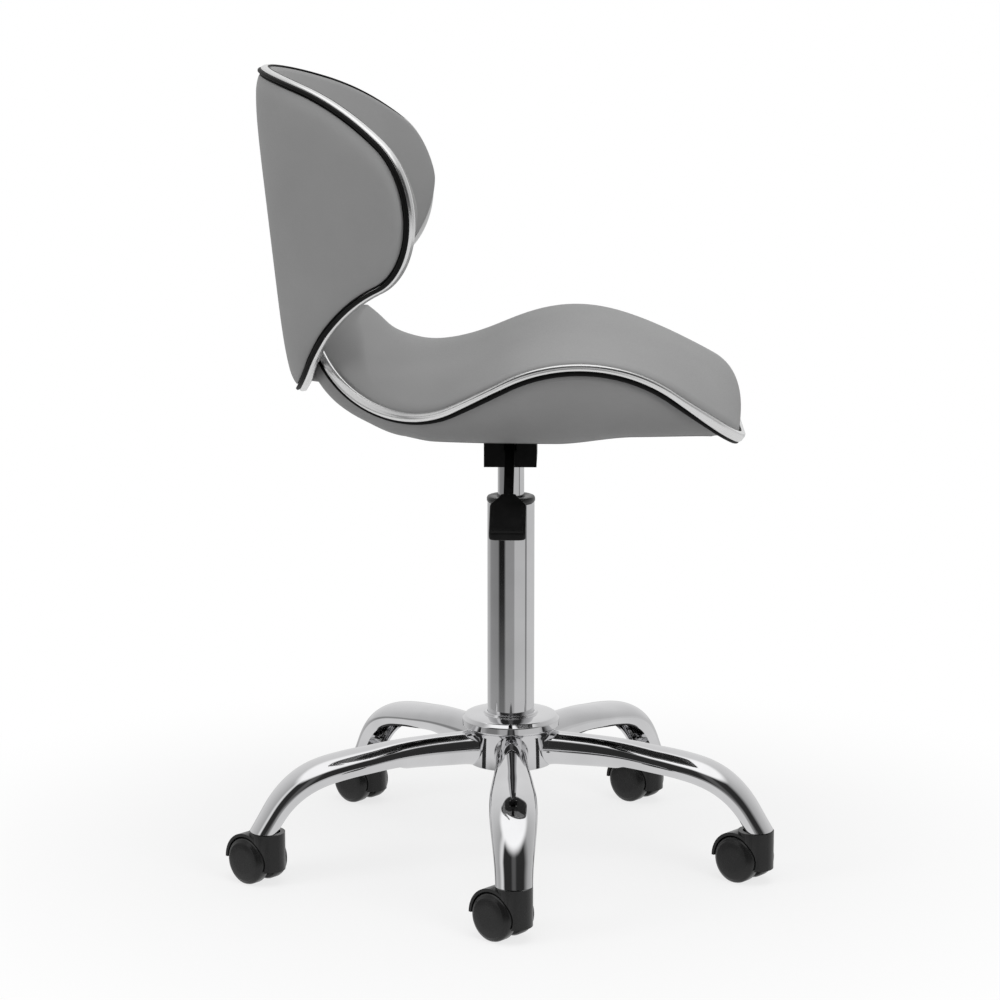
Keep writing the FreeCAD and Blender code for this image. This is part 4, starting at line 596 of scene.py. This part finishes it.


# Lower shell of the seat: the cushion's vinyl, pulled over a thin moulded pan that hides the formers and tacked
# under the board's edge all round. Its grey is painted darker than the cushion's as shade under the seat, and its
# flat underside is painted near black as shade.
def pan_rows(inset):
    """Grid of the pan's outer or inset skin from its edge in. The section leaves the edge under the board on a
    curve of four control points that bulges and then lands level on the floor. It hangs square to the board
    at the tail and straight down in front; a covered block at the tail closes the gap to the back."""
    edge, flat_share, curve_share, bulge_share = 2.5, 0.62, 0.8, 0.384
    tail_floor, box_floor, nose_rise = 477.0, 473.0, 7.0
    rim = drawn_in(SEAT_RIM, RIM_INSET + edge + inset)
    travel = np.interp(rim[:, 0], [RIM_INSET, SEAT_LENGTH - RIM_INSET], [RIM_INSET, SEAT_LENGTH - 11.5])
    travel = np.maximum(travel, 7)
    rows = np.linspace(0, 1, 44)[:, None]
    curve = np.clip(rows / curve_share, 0, 1)
    flat = np.clip((rows - curve_share) / (1 - curve_share), 0, 1)
    half = np.abs(rim[None, :, 1])
    inward = 1 - (1 - curve) ** 2 * (1 - flat)
    middle = np.clip(travel, 45, SEAT_LENGTH - 40)
    along = travel + (middle - travel) * inward
    x, z, slope = seat_line(along)
    tail, tilt = along <= AT_VALLEY, np.degrees(slope)
    under = 10.0 if inset else 10.5
    start = np.where(tail, under, under / np.cos(slope))
    deep = eased(10, 16, (tilt + 75) / 40) + eased(0, 5.3, (tilt + 22) / 22)
    floor = eased(tail_floor, box_floor, (x + 115) / 38) + eased(0, nose_rise, (x - 47) / 80)
    depth = np.maximum(np.where(tail, deep, np.maximum(z - start - floor, 2.5)) - inset, 1.0)
    reach = (1 - flat_share) * half
    length = np.hypot(depth, reach) + 1e-6
    bulge = bulge_share * np.minimum(depth, reach)
    controls = [(half, 0 * depth),
                (half - reach / 3 + bulge * depth / length, depth / 3 + bulge * reach / length),
                (half - 0.7 * reach, depth), (0.5 * half, depth)]
    weights = [(1 - curve) ** 3, 3 * curve * (1 - curve) ** 2, 3 * curve ** 2 * (1 - curve), curve ** 3]
    across = sum(weight * control[0] for weight, control in zip(weights, controls)) * (1 - flat)
    fall = start + sum(weight * control[1] for weight, control in zip(weights, controls))
    block = eased(0, 1, (66 - along) / 14) * eased(1, 0, (across - 20) / 10) * eased(0, 1, curve * 2 - 0.4)
    fall = fall + block * eased(0, 13, (along - 5) / 45)
    across = across * np.sign(rim[None, :, 1])
    return np.stack([x + np.where(tail, np.sin(slope), 0) * fall, across,
                     z - np.where(tail, np.cos(slope), 1) * fall], axis=-1)


shell = skin("seat_lower_shell", np.concatenate([pan_rows(0)[::-1], pan_rows(4.0)]), ends=False, crease=60)
# Painted shade: a darker grey than the cushion's vinyl, turning near black where the shell faces straight down.
shell_vinyl_painted_shade = grained_vinyl(
    "grey vinyl with painted shade", (0.196, 0.196, 0.196), (0.222, 0.222, 0.222), underside_shade=(0.012, 0.012, 0.012))
finished(shell, shell_vinyl_painted_shade, "seat", "grey_vinyl", "seat_shell")


# Edge of the seat: a chromed plastic trim with a groove along its middle, pushed on the board's edge, and a black
# piping bead sewn in under it.
def swept(rim, place, profile):
    """Grid of a strip along an outline: the profile's outward and lift numbers, the same all along or given for
    each point of the rim, carried round the rim's points."""
    outward, lift = profile
    along = rim[:, 0, None] + outward * np.cos(rim[:, 2, None])
    across = rim[:, 1, None] + outward * np.sin(rim[:, 2, None])
    return place(along, across, lift + 0 * along)


def trim_profile(low, high):
    """Profile of the trim between a low and a high lift: flat against the board, a half-round nose and a fine
    groove, shaped as a bell, along its middle."""
    near, far, bulge, groove_depth, groove_width = 0.8, 5.2, 2.2, 0.2, 0.25
    turn = np.linspace(-np.pi / 2, np.pi / 2, 25)[None, :]
    low, high = np.reshape(low, (-1, 1)), np.reshape(high, (-1, 1))
    nose = far + bulge * np.cos(turn) - groove_depth * np.exp(-(np.sin(turn) / groove_width) ** 2)
    lift = (low + high) / 2 + (high - low) / 2 * np.sin(turn)
    flat = np.full((1, 2), near)
    return np.column_stack([flat, nose]), np.column_stack([high, low, lift])


def bead_profile(outward, lift, radius):
    """Profile of a piping bead: a circle."""
    turn = np.linspace(0, 2 * np.pi, 16, endpoint=False)[None, :]
    radius = np.reshape(radius, (-1, 1))
    return outward + radius * np.cos(turn), lift + radius * np.sin(turn)


def looped(rows):
    """A grid whose last row meets its first."""
    return np.concatenate([rows, rows[:1]])


board_rim = drawn_in(SEAT_RIM, RIM_INSET)
trim_chrome, trim_shader = mottled(
    "chromed trim", (0.80, 0.80, 0.80), (0.87, 0.87, 0.87), 25, (0.22, 0.30))
trim_shader.inputs["Metallic"].default_value = 1.0
black_vinyl = grained_vinyl("black piping vinyl", (0.002, 0.002, 0.002), (0.004, 0.004, 0.004), sheen=0.12)
dressed(black_vinyl, "seat_board")
in_valley = eased(1, 0, np.abs(board_rim[:, 0] - 110) / 120)
at_nose = eased(0, 1, (board_rim[:, 0] - 430) / 70)
widened = 1.6 * (in_valley + at_nose)
seat_trim = skin("seat_edge_trim", looped(swept(
    board_rim, seat_at, trim_profile(-5.5 - widened, 1.5 + widened))), ends=False)
finished(seat_trim, trim_chrome, "seat", "chrome", "seat_trim")

front_rim = np.roll(board_rim, -len(board_rim) // 2, axis=0)
front_rim = front_rim[front_rim[:, 0] > 52]
bead = eased(1.5, 2.4, (front_rim[:, 0] - 130) / 90)
seat_piping = skin("seat_edge_piping", swept(front_rim, seat_at, bead_profile(3.4, -8.1, bead)))
finished(seat_piping, black_vinyl, "seat", "black_piping", "seat_piping")


# Bracket of the back: a steel band screwed under the seat board, bent up round the tail and screwed to the back
# board, powder-coated black.
dressed(powder, "back_bracket")
dressed(zinc, "bracket_screws")


# Back: a plywood board bent about an upright line, with a foam pad in front and a thin padded shell behind, both
# covered in the seat's vinyl.
BACK_LEAN = math.radians(6.15)
BACK_FOOT = np.array([-218.86, 0.0, 515.77])
BACK_FORWARD = np.array([math.cos(BACK_LEAN), 0, math.sin(BACK_LEAN)])
BACK_UPWARD = np.array([-math.sin(BACK_LEAN), 0, math.cos(BACK_LEAN)])
BACK_RADIUS, BACK_WRAP = 155.0, math.radians(45.4)
BACK_MIDDLE = 190.0


def back_at(up, around, lift):
    """Points of the back: a height up it, a distance around its wrap, which is an arc with straight wings, and
    a distance lifted forward square off it."""
    turn = np.minimum(np.abs(around) / BACK_RADIUS, BACK_WRAP)
    straight = np.maximum(np.abs(around) - BACK_RADIUS * BACK_WRAP, 0)
    ahead = BACK_RADIUS * (1 - np.cos(turn)) + straight * np.sin(turn) + lift * np.cos(turn)
    aside = BACK_RADIUS * np.sin(turn) + straight * np.cos(turn) - lift * np.sin(turn)
    points = BACK_FOOT + up[..., None] * BACK_UPWARD + ahead[..., None] * BACK_FORWARD
    points[..., 1] += np.sign(around) * aside
    return points


def back_outline():
    """The back's outline laid flat on the trim's line: a crest arc, upper and lower wing arcs, a hollow waist and
    a round tip. It starts at the top; numbers are height, distance around and direction."""
    upper, lower = (177.5, BACK_MIDDLE), (179.5, BACK_MIDDLE)
    upper_radius, lower_radius, waist_radius, tip_radius = 84.0, 82.0, 262.0, 112.0
    crest_height, flare = 334.0, math.radians(41.5)
    rise = crest_height - BACK_MIDDLE
    crest_radius = (upper[0] ** 2 + rise ** 2 - upper_radius ** 2) / (2 * (rise - upper_radius))
    crest = (0.0, crest_height - crest_radius)
    shoulder = math.atan2(upper[1] - crest[1], upper[0] - crest[0])
    start = ((tip_radius + waist_radius) * math.sin(flare) - lower[0],
             tip_radius * (1 - math.cos(flare)) - waist_radius * math.cos(flare) - lower[1])
    along = start[0] * math.cos(flare) + start[1] * math.sin(flare)
    apart = waist_radius + lower_radius
    run = -along - math.sqrt(along ** 2 - (start[0] ** 2 + start[1] ** 2 - apart ** 2))
    waist = (lower[0] + start[0] + run * math.cos(flare), lower[1] + start[1] + run * math.sin(flare))
    hip = math.atan2(waist[1] - lower[1], waist[0] - lower[0])
    leave = flare - math.pi / 2
    half = chained([
        (crest, crest_radius, math.pi / 2, shoulder), (upper, upper_radius, shoulder, 0.0),
        (lower, lower_radius, 0.0, hip), (waist, -waist_radius, hip, leave),
        ((0.0, tip_radius), tip_radius, leave, -math.pi / 2)])
    half = np.column_stack([half[:, 1], half[:, 0], math.pi / 2 - half[:, 2]])
    half[[0, -1], 1] = 0.0
    return mirrored(half)


BACK_RIM = back_outline()


def back_pad_rows(front):
    """Grid of the front pad or the rear shell: rings from a level middle line out to the rim and back along the
    board. The pad is crowned between its lower and upper edge, thinner towards the wings, and rolls over near
    the rim. The front pad comes out almost to the trim's face except at the tip, and its lower edge arches over
    the seat's tail as half an ellipse."""
    half_span, half_core = 261.5, 176.0
    rim = outline = drawn_in(BACK_RIM, RIM_INSET + 1.0)
    if front:
        thick, thin, edge, foot, power, sign = 32, 7, 4.0, 6.2, 2.1, 1
        proud = eased(0, 5.0, np.cos(rim[:, 2]) * 1.3 + 1.0)
        rim = drawn_in(rim, -proud[:, None])
        outline = rim.copy()
        arch_half, arch_foot, arch_rise, arch_limit = 70, 28, 62, 150
        arch = arch_foot + arch_rise * np.sqrt(np.clip(1 - (rim[:, 1] / arch_half) ** 2, 0, 1))
        below = rim[:, 0] < arch_limit
        arched = below & (np.abs(rim[:, 1]) < arch_half)
        rim[:, 0] = np.where(arched, np.maximum(rim[:, 0], arch), rim[:, 0])
        tuck = 6 + below * eased(14, 0, np.abs(rim[:, 1]) / 90)
    else:
        thick, thin, edge, foot, power, sign = 9.5, 6, 3.0, 5.0, 6, -1
        tuck = 16
    core = np.column_stack([np.full(len(rim), BACK_MIDDLE), np.clip(rim[:, 1], -half_core, half_core)])
    points = ringed(rim, core, 56)
    up, around = points[..., 0], points[..., 1]
    low = np.interp(np.abs(around), *edge_of(outline, upper=False))
    high = np.interp(np.abs(around), *edge_of(outline, upper=True))
    from_middle = np.clip(np.abs(2 * up - low - high) / np.maximum(high - low, 1e-6), 0, 1)
    crown = eased(thick, thin, np.abs(around) / half_span)
    crown = np.maximum(np.minimum(crown, (high - low) / 3), edge + 1)
    from_rim = np.hypot(*np.moveaxis(points - rim[None, :, :2], -1, 0))
    roll = rounded(from_rim / tuck)
    lift = foot + edge * roll + (crown - edge) * (1 - from_middle ** power) * np.sqrt(roll)
    cover = back_at(up, around, sign * lift)
    base = back_at(up, around, sign * foot + 0 * up)
    return np.concatenate([cover[::-1], base[1::4], base[-1:]])


def edge_of(rim, upper):
    """Distances around, growing, and heights of the outline's upper or lower edge."""
    half = rim[: len(rim) // 2 + 1]
    half = half[half[:, 0] >= BACK_MIDDLE] if upper else half[half[:, 0] < BACK_MIDDLE][::-1]
    return half[:, 1], half[:, 0]


dressed(black_vinyl, "back_board")
back_pad = skin("back_pad", back_pad_rows(True), ends=False, crease=60)
finished(back_pad, vinyl, "seat", "grey_vinyl", "back_cushion")
back_cover = skin("back_rear_shell", back_pad_rows(False), ends=False, crease=60)
finished(back_cover, vinyl, "seat", "grey_vinyl", "back_shell")


# Edge of the back: the seat's chromed trim pushed on the board's edge and black piping sewn in behind it. A thin
# black bead in front of the trim along the crest, which fades out towards the wings, is painted shade on the trim's
# inner edge.
back_edge = drawn_in(BACK_RIM, RIM_INSET)
back_trim = skin("back_edge_trim", looped(swept(back_edge, back_at, trim_profile(-3.3, 4.8))), ends=False)
finished(back_trim, trim_chrome, "seat", "chrome", "back_trim")
back_piping = skin("back_edge_piping", looped(swept(back_edge, back_at, bead_profile(3.4, -5.0, 2.0))), ends=False)
finished(back_piping, black_vinyl, "seat", "black_piping", "back_piping")
# Painted shade: a black bead along the front of the crest's trim stands in for the shade on the trim's inner edge.
least_up = 0.75
crest_edge = np.roll(back_edge, len(back_edge) // 2, axis=0)
crest_up = np.cos(crest_edge[:, 2])
crest_edge, crest_up = crest_edge[crest_up > least_up], crest_up[crest_up > least_up]
crest_shade_radius = eased(0.3, 1.2, (crest_up - least_up) / 0.15)
back_crest_shade = skin("back_crest_shade_bead", swept(crest_edge, back_at, bead_profile(5.5, 4.4, crest_shade_radius)))
finished(back_crest_shade, black_vinyl, "seat", "black_piping")


# Studio: a pale floor that fades into a white surround, one broad lamp overhead and two softer ones, and the
# camera at the photograph's place. The lamps are hidden from the chrome, which mirrors the surround's pattern of
# light and dark walls instead.
FLOOR_RADIUS, FLOOR_SIDES = 1.5, 96
floor_mesh = bpy.data.meshes.new("floor")
floor_turn = np.linspace(0, 2 * np.pi, FLOOR_SIDES, endpoint=False)
floor_ring = FLOOR_RADIUS * np.column_stack([np.cos(floor_turn), np.sin(floor_turn), 0 * floor_turn])
floor_mesh.from_pydata(floor_ring.tolist(), [], [list(range(FLOOR_SIDES))])
floor = bpy.data.objects.new("floor", floor_mesh)
bpy.context.scene.collection.objects.link(floor)
floor_paint = bpy.data.materials.new("pale floor")
floor_paint.use_nodes = True
nodes, links = floor_paint.node_tree.nodes, floor_paint.node_tree.links
shader, output = nodes["Principled BSDF"], nodes["Material Output"]
shader.inputs["Base Color"].default_value = (0.72, 0.72, 0.72, 1)
shader.inputs["Roughness"].default_value = 0.9
shader.inputs["Specular IOR Level"].default_value = 0.1
place = nodes.new("ShaderNodeTexCoord")
spread = nodes.new("ShaderNodeVectorMath")
spread.operation = "LENGTH"
links.new(place.outputs["Object"], spread.inputs[0])
fade = nodes.new("ShaderNodeMapRange")
fade.interpolation_type = "SMOOTHSTEP"
fade.inputs["From Min"].default_value = 0.3
fade.inputs["From Max"].default_value = 0.8
fade.inputs["To Min"].default_value = 0.76
links.new(spread.outputs["Value"], fade.inputs["Value"])
ray = nodes.new("ShaderNodeLightPath")
glowing = nodes.new("ShaderNodeMath")
glowing.operation = "MULTIPLY"
links.new(fade.outputs["Result"], glowing.inputs[0])
links.new(ray.outputs["Is Camera Ray"], glowing.inputs[1])
glow = nodes.new("ShaderNodeEmission")
mix = nodes.new("ShaderNodeMixShader")
links.new(glowing.outputs["Value"], mix.inputs["Fac"])
links.new(shader.outputs["BSDF"], mix.inputs[1])
links.new(glow.outputs["Emission"], mix.inputs[2])
links.new(mix.outputs["Shader"], output.inputs["Surface"])
floor_mesh.materials.append(floor_paint)
floor.visible_glossy = False

for name, place, aim, size, watts in (
        ("overhead lamp", (0.2, -0.5, 2.6), (0.0, 0.0, 0.4), 2.2, 29),
        ("left lamp", (-2.2, -1.2, 1.4), (0.0, 0.0, 0.5), 1.2, 18),
        ("right lamp", (1.6, -1.9, 1.3), (0.0, 0.0, 0.5), 1.2, 22)):
    lamp = bpy.data.lights.new(name, "AREA")
    lamp.shape = "DISK"
    lamp.size = size
    lamp.energy = watts
    holder = bpy.data.objects.new(name, lamp)
    bpy.context.scene.collection.objects.link(holder)
    toward = np.array(aim) - np.array(place)
    holder.location = place
    holder.visible_glossy = False
    holder.rotation_euler = (
        math.atan2(math.hypot(toward[0], toward[1]), -toward[2]), 0, math.atan2(toward[1], toward[0]) - math.pi / 2)

world = bpy.data.worlds.new("studio")
bpy.context.scene.world = world
world.use_nodes = True
nodes, links = world.node_tree.nodes, world.node_tree.links
background = nodes["Background"]
place = nodes.new("ShaderNodeTexCoord")
way = nodes.new("ShaderNodeSeparateXYZ")
links.new(place.outputs["Generated"], way.inputs["Vector"])
facing = nodes.new("ShaderNodeMath")
facing.operation = "MULTIPLY"
facing.inputs[1].default_value = -1
links.new(way.outputs["Y"], facing.inputs[0])
around = nodes.new("ShaderNodeMath")
around.operation = "ARCTAN2"
links.new(way.outputs["X"], around.inputs[0])
links.new(facing.outputs["Value"], around.inputs[1])
turned = nodes.new("ShaderNodeMapRange")
turned.inputs["From Min"].default_value = -math.pi
turned.inputs["From Max"].default_value = math.pi
links.new(around.outputs["Value"], turned.inputs["Value"])


def graded(stops):
    """A ramp of greys from (place, grey) stops, read by the direction round Z."""
    ramp = nodes.new("ShaderNodeValToRGB")
    while len(ramp.color_ramp.elements) < len(stops):
        ramp.color_ramp.elements.new(0.5)
    for element, (where, grey) in zip(ramp.color_ramp.elements, stops):
        element.position = where
        element.color = (grey, grey, grey, 1)
    links.new(turned.outputs["Result"], ramp.inputs["Fac"])
    return ramp.outputs["Color"]


def height_step(first, last):
    """A smooth step from 0 to 1 as the direction's height goes from first to last."""
    step = nodes.new("ShaderNodeMapRange")
    step.interpolation_type = "SMOOTHSTEP"
    step.inputs["From Min"].default_value = first
    step.inputs["From Max"].default_value = last
    links.new(way.outputs["Z"], step.inputs["Value"])
    return step.outputs["Result"]


def blended(share, first, last):
    """A mix of two colours by a share, each colour a grey or another node's output."""
    mixed = nodes.new("ShaderNodeMixRGB")
    links.new(share, mixed.inputs["Fac"])
    for socket, colour in ((mixed.inputs["Color1"], first), (mixed.inputs["Color2"], last)):
        if isinstance(colour, float):
            socket.default_value = (colour, colour, colour, 1)
        else:
            links.new(colour, socket)
    return mixed.outputs["Color"]


low_walls = graded([
    (0.0, 0.6), (0.07, 0.55), (0.14, 0.48), (0.19, 0.28), (0.32, 0.24), (0.345, 0.012), (0.41, 0.012),
    (0.435, 0.31), (0.545, 0.32), (0.556, 0.56), (0.705, 0.58), (0.715, 0.2), (0.73, 0.2), (0.74, 0.64),
    (0.82, 0.66), (1.0, 0.6)])
high_walls = graded([
    (0.0, 0.82), (0.12, 0.7), (0.28, 0.45), (0.315, 0.85), (0.335, 0.85), (0.36, 0.03), (0.46, 0.03),
    (0.485, 0.11), (0.52, 0.11), (0.545, 0.03), (0.65, 0.03), (0.72, 0.45), (0.88, 0.7), (1.0, 0.82)])
walls = blended(height_step(-0.12, 0.0), low_walls, high_walls)
roofed = blended(height_step(0.74, 0.88), walls, 1.2)
studio = blended(height_step(-0.21, -0.35), roofed, 0.74)
ray = nodes.new("ShaderNodeLightPath")
mirrored_or_lit = blended(ray.outputs["Is Glossy Ray"], 0.5, studio)
links.new(blended(ray.outputs["Is Camera Ray"], mirrored_or_lit, 1.0), background.inputs["Color"])

lens = bpy.data.cameras.new("camera")
lens.sensor_width = 36
lens.lens = 110.69
lens.shift_x = 0.00105
camera = bpy.data.objects.new("camera", lens)
bpy.context.scene.collection.objects.link(camera)
camera.location = (0.0604, -3.1979, 1.0079)
camera.rotation_euler = (math.radians(90 - 10.848), 0, math.radians(1.31))
bpy.context.scene.camera = camera
bpy.context.scene.view_settings.view_transform = "Standard"
